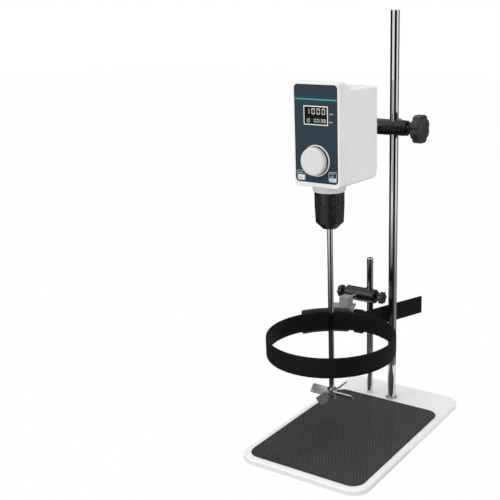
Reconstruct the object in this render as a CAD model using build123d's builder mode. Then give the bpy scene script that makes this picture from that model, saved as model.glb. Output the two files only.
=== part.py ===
from build123d import *
from math import asin, atan2, cos, degrees, radians, sin, tan
import os

# Overhead stirrer: motor head on a cross clamp, tall two-part stand rod, base plate
# with a mat, and a short post that carries the vessel strap.  Millimetres.
# +Z up, +X to the right of someone who reads the display, +Y to the back.
# The origin lies on the bench, under the middle of the base plate.

# ------------------------------------------------------------------ clearances
FIT = 0.05            # fixed pieces in their seats, each side
RUN = 0.1             # rods, pads and screws that slide or turn, each side
SEAT = 0.3            # soft or curved pieces beside their seat

# ------------------------------------------------------------------ stand
PLATE_WIDTH = 200.0
PLATE_DEPTH = 318.0
PLATE_THICKNESS = 8.0
PLATE_CORNER = 25.0
PLATE_EDGE = 1.5        # bevel round the plate's top
PLATE_UNDER_EDGE = 1.0
FOOT_DIAMETER = 16.0
FOOT_THICKNESS = 4.0
FOOT_EDGE = 0.5
FOOT_HEIGHT = 2.0
FOOT_INSET = 24.0
MAT_MARGIN = 9.5
MAT_BACK_MARGIN = 62.5  # clear plate behind the mat, for the rod and the post
MAT_THICKNESS = 1.5
MAT_EDGE = 0.5
MAT_CORNER = 18.0
ROD_SETBACK = 49.0
ROD_DIAMETER = 13.0
LOWER_ROD_LENGTH = 398.0
UPPER_ROD_LENGTH = 197.0
ROD_CHAMFER = 1.2
ROD_JOINT_CHAMFER = 0.3
SMALL_EDGE = 0.5        # on pins, studs and small turned parts
STUD_DIAMETER = 8.0
STUD_LENGTH = 32.0
ROD_BOLT_DIAMETER = 8.0
ROD_BOLT_GRIP = 18.0
BOLT_HEAD_RATIO = 1.9
HEX_RATIO = 0.3         # of a hex socket's corner radius to the screw's diameter
HEX_DEPTH_RATIO = 0.35
ROD_RING_DIAMETER = 18.0
ROD_RING_HEIGHT = 2.5
POST_OFFSET_X = -40.0
POST_DIAMETER = 10.0
POST_LENGTH = 227.0
POST_BOLT_DIAMETER = 6.0
POST_BOLT_GRIP = 14.0

# ------------------------------------------------------------------ motor head
HEAD_OFFSET_X = -23.2
HEAD_WIDTH = 71.5
HEAD_DEPTH = 99.8
HEAD_GAP = 71.7        # from the head's back to the stand rod's axis
ARM_RISE = 62.3        # from the head's bottom to its arm
BEZEL_HEIGHT = 136.5
BEZEL_DEPTH = 15.0
BEZEL_CORNER = 7.0
BEZEL_EDGE = 1.5
COVER_DROP = 9.5      # the cover's top lies this far below the bezel's
COVER_SLOPE = 15.0
COVER_EDGE = 3.0
TRAY_HEIGHT = 21.0
TRAY_DRAFT = 2.5
TRAY_CORNER = 6.0
SHELL_WALL = 2.6
PANEL_WIDTH = 66.0
PANEL_HEIGHT = 127.0
PANEL_BOTTOM = 6.2
PANEL_CORNER = 5.0
PANEL_THICKNESS = 0.8
DISPLAY_WIDTH = 37.4
DISPLAY_HEIGHT = 24.6
DISPLAY_CENTRE = 94.0  # above the head's bottom
DISPLAY_RIM = 1.2
DISPLAY_PROUD = 0.3
DISPLAY_EDGE = 0.24
KNOB_CENTRE = 35.5     # above the head's bottom
KNOB_DIAMETER = 37.0
KNOB_LENGTH = 10.0
KNOB_EDGE = 2.5
KNOB_WALL = 2.4
KNOB_TAPER = 1.0        # degrees
KNOB_GAP = 0.6
KNOB_HUB_DIAMETER = 11.0
KNOB_MARK_WIDTH = 1.8
KNOB_MARK_LENGTH = 4.0
KNOB_MARK_DEPTH = 0.5
RING_DIAMETER = 41.5
RING_WIDTH = 1.9
RING_HEIGHT = 1.2
RING_EDGE = 0.5
PUSH_TRAVEL = 0.8
ENCODER_WIDTH = 13.0
ENCODER_DEPTH = 6.4
ENCODER_SHAFT = 6.0
ENCODER_BUSH = 9.0
ENCODER_BUSH_PROUD = 4.0
ENCODER_BACK = 1.0
PLUNGER_LENGTH = 1.2
SHAFT_SETBACK = 30.5   # from the head's front to the spindle's axis
MOTOR_DIAMETER = 40.0
MOTOR_LENGTH = 62.0
MOTOR_WALL = 7.0
MOTOR_END = 5.0
TURNED_EDGE = 1.0       # bevel on the larger turned parts
ROTOR_GAP = 0.4
CHASSIS_WIDTH = 50.0
CHASSIS_BEND = 4.0
CHASSIS_THICKNESS = 3.0
CHASSIS_FRONT = 19.0    # in front of the spindle's axis
CHASSIS_ABOVE_ARM = 20.0
BOARD_WIDTH = 48.0
BOARD_HEIGHT = 46.0
BOARD_THICKNESS = 1.6
BOARD_PART_WIDTH = 8.0  # of the tall components on the board
BOARD_PART_HEIGHT = 15.0
BOARD_PART_SPACING = 16.0
BOARD_GAP = 14.0       # from the board to the chassis upright
SPINDLE_DIAMETER = 10.0
SPINDLE_CLEARANCE = 0.4  # of the spindle in the housing's floor and the nose
SPINDLE_ABOVE_MOTOR = 1.0
BEARING_DIAMETER = 26.0
BEARING_HEIGHT = 8.0
NOSE_TOP_DIAMETER = 47.0
NOSE_DIAMETER = 43.5
NOSE_HEIGHT = 10.0
INLET_DIAMETER = 9.0
INLET_PROUD = 3.0
INLET_BODY_LENGTH = 14.6  # of the socket above the housing's underside
INLET_BORE = 5.6
INLET_PIN = 2.0
INLET_BORE_DEPTH = 6.0
INLET_FLANGE = 1.5      # width and thickness of the rim under the housing
INLET_SETBACK = 30.3   # from the head's back
INLET_OFFSET_X = 13.2
TRAY_SCREW = 4.0
TRAY_SCREW_INSET = 14.0  # from the head's sides and back
TRAY_SCREW_SPACING = 36.0  # front to back
ARM_DIAMETER = 12.0
ARM_INSIDE = 2.0        # in front of the chassis upright
ARM_EDGE = 0.8
ARM_TAIL = 62.0        # behind the stand rod's axis
ARM_FLANGE_DIAMETER = 34.0
ARM_FLANGE_THICKNESS = 5.0
ARM_SCREW = 3.0
ARM_SCREW_CIRCLE = 24.0
ARM_SCREW_COUNT = 3
ARM_SCREW_HEAD = 2.2
ARM_SCREW_HEAD_DIAMETER = 5.4
ARM_SCREW_HEX = 1.26     # corner radius of its hex socket
ARM_SCREW_HEX_DEPTH = 1.3
ARM_HEIGHT = 440.5     # of the arm and the upper cross clamp

# ------------------------------------------------------------------ keyless chuck
CHUCK_DIAMETER = 41.0
CHUCK_GAP = 0.3
REAR_RING_HEIGHT = 16.5
SLEEVE_HEIGHT = 25.0
SLEEVE_TAPER = 1.2
CONE_HEIGHT = 9.0
CONE_END_DIAMETER = 20.5
NOSE_PROUD = 0.6
SLEEVE_WALL = 2.2
NOSE_WALL = 0.6         # of the chuck body round the jaws
THREAD_DEPTH = 0.4      # of the jaws' backs in the nut ring
NUT_CLEARANCE = 0.2
RIB_COUNT = 16
RIB_DEPTH = 0.9
RIB_WIDTH = 4.2
RIB_MARGIN = 4.0        # plain band above the ribs
JAW_DIAMETER = 4.6
JAW_LENGTH = 27.0
JAW_ANGLE = 14.0
JAW_BACKOFF = 1.0      # from the jaw's gripping face to its axis, at the tip
JAW_TRAVEL = 6.0
JAW_RECESS = 0.2        # of the closed jaws' tips in the body's face
CHUCK_EDGE = 1.0
BODY_EDGE = 0.5
SHAFT_BORE_CLEARANCE = 0.2  # of the stirring shaft in the chuck body
NUT_HEIGHT = 8.0
NUT_ABOVE_CONE = 3.0
SOCKET_DEPTH = 14.0
CHUCK_CROWN_DIAMETER = 30.0

# ------------------------------------------------------------------ stirrer
SHAFT_DIAMETER = 8.0
SHAFT_ENTRY = 34.0     # length held inside the chuck
SHAFT_LENGTH = 287.0
IMPELLER_DIAMETER = 70.0
HUB_DIAMETER = 14.0
HUB_HEIGHT = 14.0
BLADE_COUNT = 4
BLADE_WIDTH = 14.0
BLADE_THICKNESS = 1.5
BLADE_PITCH = 45.0
BLADE_CORNER = 1.5

# ------------------------------------------------------------------ upper cross clamp
CLAMP_DIAMETER = 23.0
CLAMP_HALF_LENGTH = 41.0
CLAMP_EDGE = 1.2
END_RING_LENGTH = 4.5
END_RING_DIAMETER = 22.0
END_RING_SLOTS = 6
END_RING_SLOT_DEPTH = 1.0
END_RING_SLOT_WIDTH = 3.0
CLAMP_SCREW = 8.0
PAD_LENGTH = 4.0
LOWER_PAD_LENGTH = 3.0
STAR_DIAMETER = 41.0
STAR_LENGTH = 11.5
STAR_DOME = 3.5
STAR_LOBES = 8
STAR_SCALLOP_DIAMETER = 10.0
STAR_SCALLOP_OUT = 3.0  # of the scallops' centres, beyond the rim
STAR_HUB_DIAMETER = 15.0
STAR_HUB_LENGTH = 10.5
STAR_GAP = 3.0
KNOB_FACE_RATIO = 0.84  # of a star knob's face to its diameter
KNOB_BACK_RATIO = 0.72  # of the root of its hub to its diameter
KNOB_DOME_TAPER = 60.0
SCREW_BITE = 16.0      # length of the screw inside its knob

# ------------------------------------------------------------------ lower clamp, holder
LOWER_CLAMP_DIAMETER = 22.0
LOWER_CLAMP_HEIGHT = 175.0
LOWER_CLAMP_LEFT = -82.0
LOWER_CLAMP_RIGHT = -29.0
LOWER_SCREW = 6.0
THUMB_DIAMETER = 19.0
THUMB_LENGTH = 6.5
THUMB_LOBES = 6
THUMB_LOBE_DIAMETER = 7.0
THUMB_GAP = 7.0
HOLDER_ARM_X = -60.0
HOLDER_ARM_DIAMETER = 8.0
HOLDER_ARM_TAIL = 33.0
VESSEL_DIAMETER = 180.0
STRAP_THICKNESS = 2.5
STRAP_HEIGHT = 28.5
STRAP_DROP = 26.5      # from the lower clamp to the strap's middle
JAW_PLATE_THICKNESS = 4.0
JAW_PLATE_HEIGHT = 37.0
JAW_PLATE_EDGE = 1.5
JAW_PLATE_START = 16.0  # degrees round the vessel from straight back, to the left
JAW_PLATE_END = 60.0
BRACKET_WIDTH = 36.0
BRACKET_THICKNESS = 3.0
BRACKET_REACH = 22.0
SOCKET_BLOCK = 15.0
SOCKET_BLOCK_LENGTH = 16.0
SOCKET_BITE = 12.0      # of the holder arm in its block
JAW_PIN = 4.0
JAW_PIN_SPACING = 18.0
JAW_PIN_HEAD = 7.0
JAW_PIN_HEAD_HEIGHT = 1.5
JAW_PIN_HEAD_TAPER = 30.0
JAW_PIN_ROOT = 1.0      # of the pins inside the jaw plate
STRAIGHT_BACK = 90.0    # degrees from +X
TAIL_LENGTH = 131.0
TAIL_ANGLE = 69.0      # of the free strap end, from +X
TAIL_START = 6.0       # degrees round the vessel from straight back
BUCKLE_WIDTH = 16.0
BUCKLE_THICKNESS = 5.0
BUCKLE_CORNER = 2.0

# ------------------------------------------------------------------ places
PLATE_TOP = FOOT_HEIGHT + PLATE_THICKNESS
MAT_DEPTH = PLATE_DEPTH - MAT_MARGIN - MAT_BACK_MARGIN
HEAD_BOTTOM = ARM_HEIGHT - ARM_RISE
STRAP_CENTRE = LOWER_CLAMP_HEIGHT - STRAP_DROP
ROD_Y = PLATE_DEPTH / 2 - ROD_SETBACK
ROD_TOP = PLATE_TOP + LOWER_ROD_LENGTH + UPPER_ROD_LENGTH
ROD_RADIUS = ROD_DIAMETER / 2
HEAD_BACK = ROD_Y - HEAD_GAP
HEAD_FRONT = HEAD_BACK - HEAD_DEPTH
BEZEL_BACK = HEAD_FRONT + BEZEL_DEPTH
BEZEL_TOP = HEAD_BOTTOM + BEZEL_HEIGHT
COVER_TOP = BEZEL_TOP - COVER_DROP
TRAY_TOP = HEAD_BOTTOM + TRAY_HEIGHT
SHAFT_Y = HEAD_FRONT + SHAFT_SETBACK
SHAFT_RADIUS = SHAFT_DIAMETER / 2
NOSE_BOTTOM = HEAD_BOTTOM - NOSE_HEIGHT
CHUCK_TOP = NOSE_BOTTOM - CHUCK_GAP
SLEEVE_TOP = CHUCK_TOP - REAR_RING_HEIGHT - CHUCK_GAP
CONE_TOP = SLEEVE_TOP - SLEEVE_HEIGHT
CONE_BOTTOM = CONE_TOP - CONE_HEIGHT
CHUCK_BOTTOM = CONE_BOTTOM - NOSE_PROUD
PANEL_FACE = HEAD_FRONT
PANEL_SEAT = HEAD_FRONT + PANEL_THICKNESS
PANEL_MIDDLE = HEAD_BOTTOM + PANEL_BOTTOM + PANEL_HEIGHT / 2
DISPLAY_Z = HEAD_BOTTOM + DISPLAY_CENTRE
KNOB_Z = HEAD_BOTTOM + KNOB_CENTRE
BEZEL_INSIDE = HEAD_FRONT + SHELL_WALL + PANEL_THICKNESS
VESSEL_RADIUS = VESSEL_DIAMETER / 2
VESSEL_X = HEAD_OFFSET_X
VESSEL_Y = SHAFT_Y
STRAP_INNER = VESSEL_RADIUS + SEAT
STRAP_OUTER = STRAP_INNER + STRAP_THICKNESS
JAW_PLATE_INNER = STRAP_OUTER + SEAT
JAW_PLATE_OUTER = JAW_PLATE_INNER + JAW_PLATE_THICKNESS

os.makedirs("parts", exist_ok=True)


def save(part, name):
    """Label one finished piece and write it under its own name."""
    part.label = name
    export_step(part, f"parts/{name}.step")


def rod_along_z(x, y, z_low, z_high, diameter, chamfer_size=0.0):
    """Round bar standing at (x, y)."""
    with BuildPart() as bar:
        with BuildSketch(Plane.XY.offset(z_low)):
            with Locations((x, y)):
                Circle(diameter / 2)
        extrude(amount=z_high - z_low)
        if chamfer_size:
            chamfer(bar.edges().group_by(Axis.Z)[-1], chamfer_size)
    return bar.part


# ------------------------------------------------------------------ base plate, mat, feet
foot_spots = GridLocations(
    PLATE_WIDTH - 2 * FOOT_INSET, PLATE_DEPTH - 2 * FOOT_INSET, 2, 2
)
foot_pocket = FOOT_THICKNESS - FOOT_HEIGHT

with BuildPart() as base_plate:
    with BuildSketch(Plane.XY.offset(FOOT_HEIGHT)):
        RectangleRounded(PLATE_WIDTH, PLATE_DEPTH, PLATE_CORNER)
    extrude(amount=PLATE_THICKNESS)
    chamfer(base_plate.faces().sort_by(Axis.Z)[-1].edges(), PLATE_EDGE)
    fillet(base_plate.faces().sort_by(Axis.Z)[0].edges(), PLATE_UNDER_EDGE)
    with BuildSketch(Plane.XY.offset(FOOT_HEIGHT)):
        with foot_spots:
            Circle(FOOT_DIAMETER / 2 + FIT)
    extrude(amount=foot_pocket, mode=Mode.SUBTRACT)
    for bolt_x, bolt in ((0.0, ROD_BOLT_DIAMETER), (POST_OFFSET_X, POST_BOLT_DIAMETER)):
        with Locations(Plane((bolt_x, ROD_Y, FOOT_HEIGHT), z_dir=(0, 0, -1))):
            CounterSinkHole(
                radius=bolt / 2 + FIT,
                counter_sink_radius=bolt * BOLT_HEAD_RATIO / 2 + FIT,
                depth=PLATE_THICKNESS,
            )
save(base_plate.part, "base_plate")

with BuildPart() as base_feet:
    with BuildSketch():
        with foot_spots:
            Circle(FOOT_DIAMETER / 2)
    extrude(amount=FOOT_THICKNESS)
    chamfer(base_feet.edges().group_by(Axis.Z)[0], FOOT_EDGE)
save(base_feet.part, "base_feet")

mat_middle = -PLATE_DEPTH / 2 + MAT_MARGIN + MAT_DEPTH / 2
with BuildPart() as anti_slip_mat:
    with BuildSketch(Plane.XY.offset(PLATE_TOP)):
        with Locations((0, mat_middle)):
            RectangleRounded(PLATE_WIDTH - 2 * MAT_MARGIN, MAT_DEPTH, MAT_CORNER)
    extrude(amount=MAT_THICKNESS)
    chamfer(anti_slip_mat.faces().sort_by(Axis.Z)[-1].edges(), MAT_EDGE)
save(anti_slip_mat.part, "anti_slip_mat")


# ------------------------------------------------------------------ stand rod and post
def drilled_rod(x, z_low, z_high, diameter, low_hole, high_hole, edge):
    """Rod with blind holes (diameter, depth) up from its foot and down from its top."""
    with BuildPart() as bar:
        add(rod_along_z(x, ROD_Y, z_low, z_high, diameter, edge))
        for hole, start, way in ((low_hole, z_low, 1), (high_hole, z_high, -1)):
            if hole:
                with BuildSketch(Plane((x, ROD_Y, start), z_dir=(0, 0, way))):
                    Circle(hole[0] / 2 + FIT)
                extrude(amount=hole[1], mode=Mode.SUBTRACT)
    return bar.part


joint_z = PLATE_TOP + LOWER_ROD_LENGTH
half_stud = STUD_LENGTH / 2
stud_hole = (STUD_DIAMETER, half_stud + FIT)
rod_bolt_hole = (ROD_BOLT_DIAMETER, ROD_BOLT_GRIP + FIT)
post_bolt_hole = (POST_BOLT_DIAMETER, POST_BOLT_GRIP + FIT)
save(drilled_rod(0, PLATE_TOP, joint_z, ROD_DIAMETER, rod_bolt_hole, stud_hole,
                 ROD_JOINT_CHAMFER),
     "stand_rod_lower")
save(drilled_rod(0, joint_z, ROD_TOP, ROD_DIAMETER, stud_hole, None, ROD_CHAMFER),
     "stand_rod_upper")
save(drilled_rod(POST_OFFSET_X, PLATE_TOP, PLATE_TOP + POST_LENGTH, POST_DIAMETER,
                 post_bolt_hole, None, ROD_CHAMFER), "clamp_post")
save(rod_along_z(0, ROD_Y, joint_z - half_stud, joint_z + half_stud, STUD_DIAMETER,
                 SMALL_EDGE),
     "rod_joint_stud")

with BuildPart() as rod_foot_ring:
    with BuildSketch(Plane.XY.offset(PLATE_TOP)):
        with Locations((0, ROD_Y)):
            Circle(ROD_RING_DIAMETER / 2)
            Circle(ROD_RADIUS + FIT, mode=Mode.SUBTRACT)
    extrude(amount=ROD_RING_HEIGHT)
    chamfer(rod_foot_ring.edges().group_by(Axis.Z)[-1].sort_by(SortBy.RADIUS)[-1], SMALL_EDGE)
save(rod_foot_ring.part, "rod_foot_ring")


def countersunk_bolt(x, diameter, grip):
    """Flat-head bolt up through the plate into the foot of a rod."""
    head = diameter * BOLT_HEAD_RATIO / 2
    shank = diameter / 2
    with BuildPart() as bolt:
        with BuildSketch(Plane((x, ROD_Y, FOOT_HEIGHT), x_dir=(1, 0, 0), z_dir=(0, -1, 0))):
            with BuildLine():
                Polyline((0, 0), (head, 0), (shank, head - shank), (shank, PLATE_THICKNESS + grip),
                         (0, PLATE_THICKNESS + grip), close=True)
            make_face()
        revolve(axis=Axis((x, ROD_Y, 0), (0, 0, 1)))
        with BuildSketch(Plane((x, ROD_Y, FOOT_HEIGHT))):
            RegularPolygon(diameter * HEX_RATIO, 6)
        extrude(amount=diameter * HEX_DEPTH_RATIO, mode=Mode.SUBTRACT)
    return bolt.part


save(countersunk_bolt(0, ROD_BOLT_DIAMETER, ROD_BOLT_GRIP), "stand_rod_bolt")
save(countersunk_bolt(POST_OFFSET_X, POST_BOLT_DIAMETER, POST_BOLT_GRIP), "clamp_post_bolt")


# ------------------------------------------------------------------ housing
def front_plane(y, z, x=HEAD_OFFSET_X):
    """Plane that faces the user: its own X is +X, its own Y is +Z."""
    return Plane((x, y, z), x_dir=(1, 0, 0), z_dir=(0, -1, 0))


def side_plane(x=0.0):
    """Plane across the head: its own X is +Y, its own Y is +Z."""
    return Plane((x, 0, 0), x_dir=(0, 1, 0), z_dir=(1, 0, 0))


bezel_middle = HEAD_BOTTOM + BEZEL_HEIGHT / 2
floor_top = HEAD_BOTTOM + SHELL_WALL
spindle_hole = SPINDLE_DIAMETER / 2 + SPINDLE_CLEARANCE
shell_in = SHELL_WALL + PANEL_THICKNESS
arm_screw_spots = PolarLocations(ARM_SCREW_CIRCLE / 2, ARM_SCREW_COUNT, start_angle=90)

with BuildPart() as front_bezel:
    with BuildSketch(front_plane(HEAD_FRONT, bezel_middle)) as bezel_outline:
        Rectangle(HEAD_WIDTH, BEZEL_HEIGHT)
        fillet(bezel_outline.vertices().group_by(Axis.Y)[0], BEZEL_CORNER)
        fillet(bezel_outline.vertices().group_by(Axis.Y)[-1], COVER_EDGE)
    extrude(amount=-BEZEL_DEPTH)
    fillet(front_bezel.faces().sort_by(Axis.Y)[0].edges(), BEZEL_EDGE)
    with BuildSketch(front_plane(BEZEL_INSIDE, bezel_middle)) as bezel_hollow:
        Rectangle(HEAD_WIDTH - 2 * SHELL_WALL, BEZEL_HEIGHT - 2 * SHELL_WALL)
        fillet(bezel_hollow.vertices().group_by(Axis.Y)[0], BEZEL_CORNER - SHELL_WALL)
    extrude(amount=-BEZEL_DEPTH, mode=Mode.SUBTRACT)
    with BuildSketch(front_plane(PANEL_FACE, PANEL_MIDDLE)):
        RectangleRounded(PANEL_WIDTH + 2 * FIT, PANEL_HEIGHT + 2 * FIT, PANEL_CORNER)
    extrude(amount=-PANEL_THICKNESS, mode=Mode.SUBTRACT)
    with BuildSketch(front_plane(PANEL_FACE, 0)):
        with Locations((0, DISPLAY_Z)):
            Rectangle(DISPLAY_WIDTH - 2 * DISPLAY_RIM, DISPLAY_HEIGHT - 2 * DISPLAY_RIM)
        with Locations((0, KNOB_Z)):
            Circle(ENCODER_BUSH / 2 + FIT)
    extrude(amount=-shell_in, mode=Mode.SUBTRACT)
    with BuildSketch(Plane((HEAD_OFFSET_X, SHAFT_Y, HEAD_BOTTOM))):
        Circle(spindle_hole)
    extrude(amount=SHELL_WALL, mode=Mode.SUBTRACT)
save(front_bezel.part, "housing_front_bezel")

with BuildPart() as cover:
    with BuildSketch(side_plane(HEAD_OFFSET_X)):
        with BuildLine():
            Polyline(
                (BEZEL_BACK, TRAY_TOP),
                (HEAD_BACK, TRAY_TOP),
                (HEAD_BACK, COVER_TOP),
                (BEZEL_BACK + COVER_SLOPE, COVER_TOP),
                (BEZEL_BACK, BEZEL_TOP),
                close=True,
            )
        make_face()
    extrude(amount=HEAD_WIDTH / 2, both=True)
    cover_front = cover.faces().sort_by(Axis.Y)[0]
    cover_foot = cover.faces().sort_by(Axis.Z)[0]
    fillet(
        [
            edge for edge in cover.edges()
            if edge not in cover_front.edges() and edge not in cover_foot.edges()
        ],
        COVER_EDGE,
    )
    offset(
        amount=-SHELL_WALL,
        openings=[cover.faces().sort_by(Axis.Y)[0], cover.faces().sort_by(Axis.Z)[0]],
        kind=Kind.INTERSECTION,
    )
    with BuildSketch(front_plane(HEAD_BACK, ARM_HEIGHT)):
        Circle(ARM_DIAMETER / 2 + FIT)
        with arm_screw_spots:
            Circle(ARM_SCREW / 2 + FIT)
    extrude(amount=SHELL_WALL, mode=Mode.SUBTRACT)
save(cover.part, "housing_cover")

tray_depth = HEAD_BACK - BEZEL_BACK
screw_middle = HEAD_BACK - TRAY_SCREW_INSET - TRAY_SCREW_SPACING / 2
inlet_x = HEAD_OFFSET_X + INLET_OFFSET_X
inlet_y = HEAD_BACK - INLET_SETBACK


def screw_spots():
    """The four tray screws, behind the nose of the spindle."""
    return GridLocations(HEAD_WIDTH - 2 * TRAY_SCREW_INSET, TRAY_SCREW_SPACING, 2, 2)


def tray_block(inset):
    """Block of the tray with tapered sides, drawn in by inset on all but its front."""
    floor_z = HEAD_BOTTOM + inset
    taper = TRAY_DRAFT * (TRAY_TOP - floor_z) / TRAY_HEIGHT
    width = HEAD_WIDTH - 2 * inset
    depth = tray_depth - inset
    with BuildPart() as block:
        with BuildSketch(Plane((HEAD_OFFSET_X, BEZEL_BACK, TRAY_TOP))):
            Rectangle(width, depth, align=(Align.CENTER, Align.MIN))
        with BuildSketch(Plane((HEAD_OFFSET_X, BEZEL_BACK, floor_z))):
            Rectangle(width - 2 * taper, depth, align=(Align.CENTER, Align.MIN))
        loft()
        block_front = block.faces().sort_by(Axis.Y)[0]
        fillet(
            [
                edge for edge in block.faces().sort_by(Axis.Z)[0].edges()
                if edge not in block_front.edges()
            ],
            TRAY_CORNER - inset,
        )
    return block.part


with BuildPart() as tray:
    add(tray_block(0))
    add(tray_block(SHELL_WALL), mode=Mode.SUBTRACT)
    with BuildSketch(Plane.XY.offset(HEAD_BOTTOM)):
        with Locations((HEAD_OFFSET_X, SHAFT_Y)):
            Circle(spindle_hole)
        with Locations((inlet_x, inlet_y)):
            Circle(INLET_DIAMETER / 2 + FIT)
    extrude(amount=SHELL_WALL, mode=Mode.SUBTRACT)
    with Locations(Plane((HEAD_OFFSET_X, screw_middle, HEAD_BOTTOM), z_dir=(0, 0, -1))):
        with screw_spots():
            CounterSinkHole(radius=TRAY_SCREW / 2 + FIT, counter_sink_radius=TRAY_SCREW + FIT)
save(tray.part, "housing_base_tray")

chassis_front = SHAFT_Y - CHASSIS_FRONT
chassis_back = HEAD_BACK - SHELL_WALL
chassis_top = ARM_HEIGHT + CHASSIS_ABOVE_ARM

with BuildPart() as chassis:
    with BuildSketch(side_plane(HEAD_OFFSET_X)):
        with BuildLine():
            Polyline(
                (chassis_front, floor_top),
                (chassis_back, floor_top),
                (chassis_back, chassis_top),
                (chassis_back - CHASSIS_THICKNESS, chassis_top),
                (chassis_back - CHASSIS_THICKNESS, floor_top + CHASSIS_THICKNESS),
                (chassis_front, floor_top + CHASSIS_THICKNESS),
                close=True,
            )
        make_face()
    extrude(amount=CHASSIS_WIDTH / 2, both=True)
    fillet(chassis.edges().filter_by(Axis.X).group_by(Axis.Z)[0].sort_by(Axis.Y)[-1], CHASSIS_BEND)
    with BuildSketch(Plane.XY.offset(floor_top)):
        with Locations((HEAD_OFFSET_X, SHAFT_Y)):
            Circle(spindle_hole)
        with Locations((inlet_x, inlet_y)):
            Circle(INLET_DIAMETER / 2 + FIT)
        with Locations((HEAD_OFFSET_X, screw_middle)):
            with screw_spots():
                Circle(TRAY_SCREW / 2 + FIT)
    extrude(amount=CHASSIS_THICKNESS, mode=Mode.SUBTRACT)
    with BuildSketch(front_plane(chassis_back, ARM_HEIGHT)):
        Circle(ARM_DIAMETER / 2 + FIT)
        with arm_screw_spots:
            Circle(ARM_SCREW / 2 + FIT)
    extrude(amount=CHASSIS_THICKNESS, mode=Mode.SUBTRACT)
save(chassis.part, "head_chassis")

screw_length = SHELL_WALL + CHASSIS_THICKNESS
with BuildPart() as tray_screw:
    with BuildSketch(Plane.XZ):
        with BuildLine():
            Polyline(
                (0, 0),
                (TRAY_SCREW, 0),
                (TRAY_SCREW / 2, TRAY_SCREW / 2),
                (TRAY_SCREW / 2, screw_length),
                (0, screw_length),
                close=True,
            )
        make_face()
    revolve(axis=Axis.Z)
with BuildPart() as tray_screws:
    with Locations((HEAD_OFFSET_X, screw_middle, HEAD_BOTTOM)):
        with screw_spots():
            add(tray_screw.part)
save(tray_screws.part, "tray_screws")

with BuildPart() as inlet:
    with BuildSketch(Plane((inlet_x, inlet_y, HEAD_BOTTOM - INLET_PROUD))):
        Circle(INLET_DIAMETER / 2)
    extrude(amount=INLET_PROUD + INLET_BODY_LENGTH)
    with BuildSketch(Plane((inlet_x, inlet_y, HEAD_BOTTOM))):
        Circle(INLET_DIAMETER / 2 + INLET_FLANGE)
        Circle(INLET_DIAMETER / 2, mode=Mode.SUBTRACT)
    extrude(amount=-INLET_FLANGE)
    with BuildSketch(Plane((inlet_x, inlet_y, HEAD_BOTTOM - INLET_PROUD))):
        Circle(INLET_BORE / 2)
        Circle(INLET_PIN / 2, mode=Mode.SUBTRACT)
    extrude(amount=INLET_BORE_DEPTH, mode=Mode.SUBTRACT)
save(inlet.part, "power_inlet")

# ------------------------------------------------------------------ panel and display
with BuildPart() as panel:
    with BuildSketch(front_plane(PANEL_FACE, PANEL_MIDDLE)):
        RectangleRounded(PANEL_WIDTH, PANEL_HEIGHT, PANEL_CORNER - FIT)
    extrude(amount=-PANEL_THICKNESS)
    with BuildSketch(front_plane(PANEL_FACE, 0)):
        with Locations((0, DISPLAY_Z)):
            Rectangle(DISPLAY_WIDTH + 2 * FIT, DISPLAY_HEIGHT + 2 * FIT)
        with Locations((0, KNOB_Z)):
            Circle(ENCODER_BUSH / 2 + FIT)
    extrude(amount=-PANEL_THICKNESS, mode=Mode.SUBTRACT)
save(panel.part, "control_panel")

with BuildPart() as display_frame:
    with BuildSketch(front_plane(PANEL_SEAT, DISPLAY_Z)):
        Rectangle(DISPLAY_WIDTH, DISPLAY_HEIGHT)
        Rectangle(
            DISPLAY_WIDTH - 2 * DISPLAY_RIM, DISPLAY_HEIGHT - 2 * DISPLAY_RIM, mode=Mode.SUBTRACT
        )
    extrude(amount=PANEL_THICKNESS + DISPLAY_PROUD)
    rim_front = display_frame.faces().sort_by(Axis.Y)[0]
    chamfer(rim_front.outer_wire().edges(), DISPLAY_EDGE)
save(display_frame.part, "display_frame")

with BuildPart() as display_window:
    with BuildSketch(front_plane(BEZEL_INSIDE, DISPLAY_Z)):
        Rectangle(
            DISPLAY_WIDTH - 2 * (DISPLAY_RIM + FIT), DISPLAY_HEIGHT - 2 * (DISPLAY_RIM + FIT)
        )
    extrude(amount=shell_in)
save(display_window.part, "display_window")

with BuildPart() as control_board:
    board_y = chassis_back - CHASSIS_THICKNESS - BOARD_GAP
    board_foot = floor_top + CHASSIS_THICKNESS
    with BuildSketch(front_plane(board_y, board_foot + BOARD_HEIGHT / 2)):
        Rectangle(BOARD_WIDTH, BOARD_HEIGHT)
    extrude(amount=-BOARD_THICKNESS)
    with Locations((HEAD_OFFSET_X, board_y, board_foot + BOARD_HEIGHT / 2)):
        with GridLocations(BOARD_PART_SPACING, 0, 3, 1):
            Box(BOARD_PART_WIDTH, BOARD_PART_WIDTH, BOARD_PART_HEIGHT,
                align=(Align.CENTER, Align.MAX, Align.CENTER))
save(control_board.part, "control_board")

# ------------------------------------------------------------------ knob and its encoder
bush_front = PANEL_FACE - ENCODER_BUSH_PROUD
encoder_end = BEZEL_INSIDE + ENCODER_DEPTH
cavity_end = encoder_end - ENCODER_BACK
plunger_back = cavity_end - PUSH_TRAVEL - RUN
plunger_front = plunger_back - PLUNGER_LENGTH
knob_back = PANEL_FACE - KNOB_GAP - PUSH_TRAVEL
knob_front = knob_back - KNOB_LENGTH
knob_roof = knob_front + KNOB_WALL
hub_back = bush_front - KNOB_GAP - PUSH_TRAVEL

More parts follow.
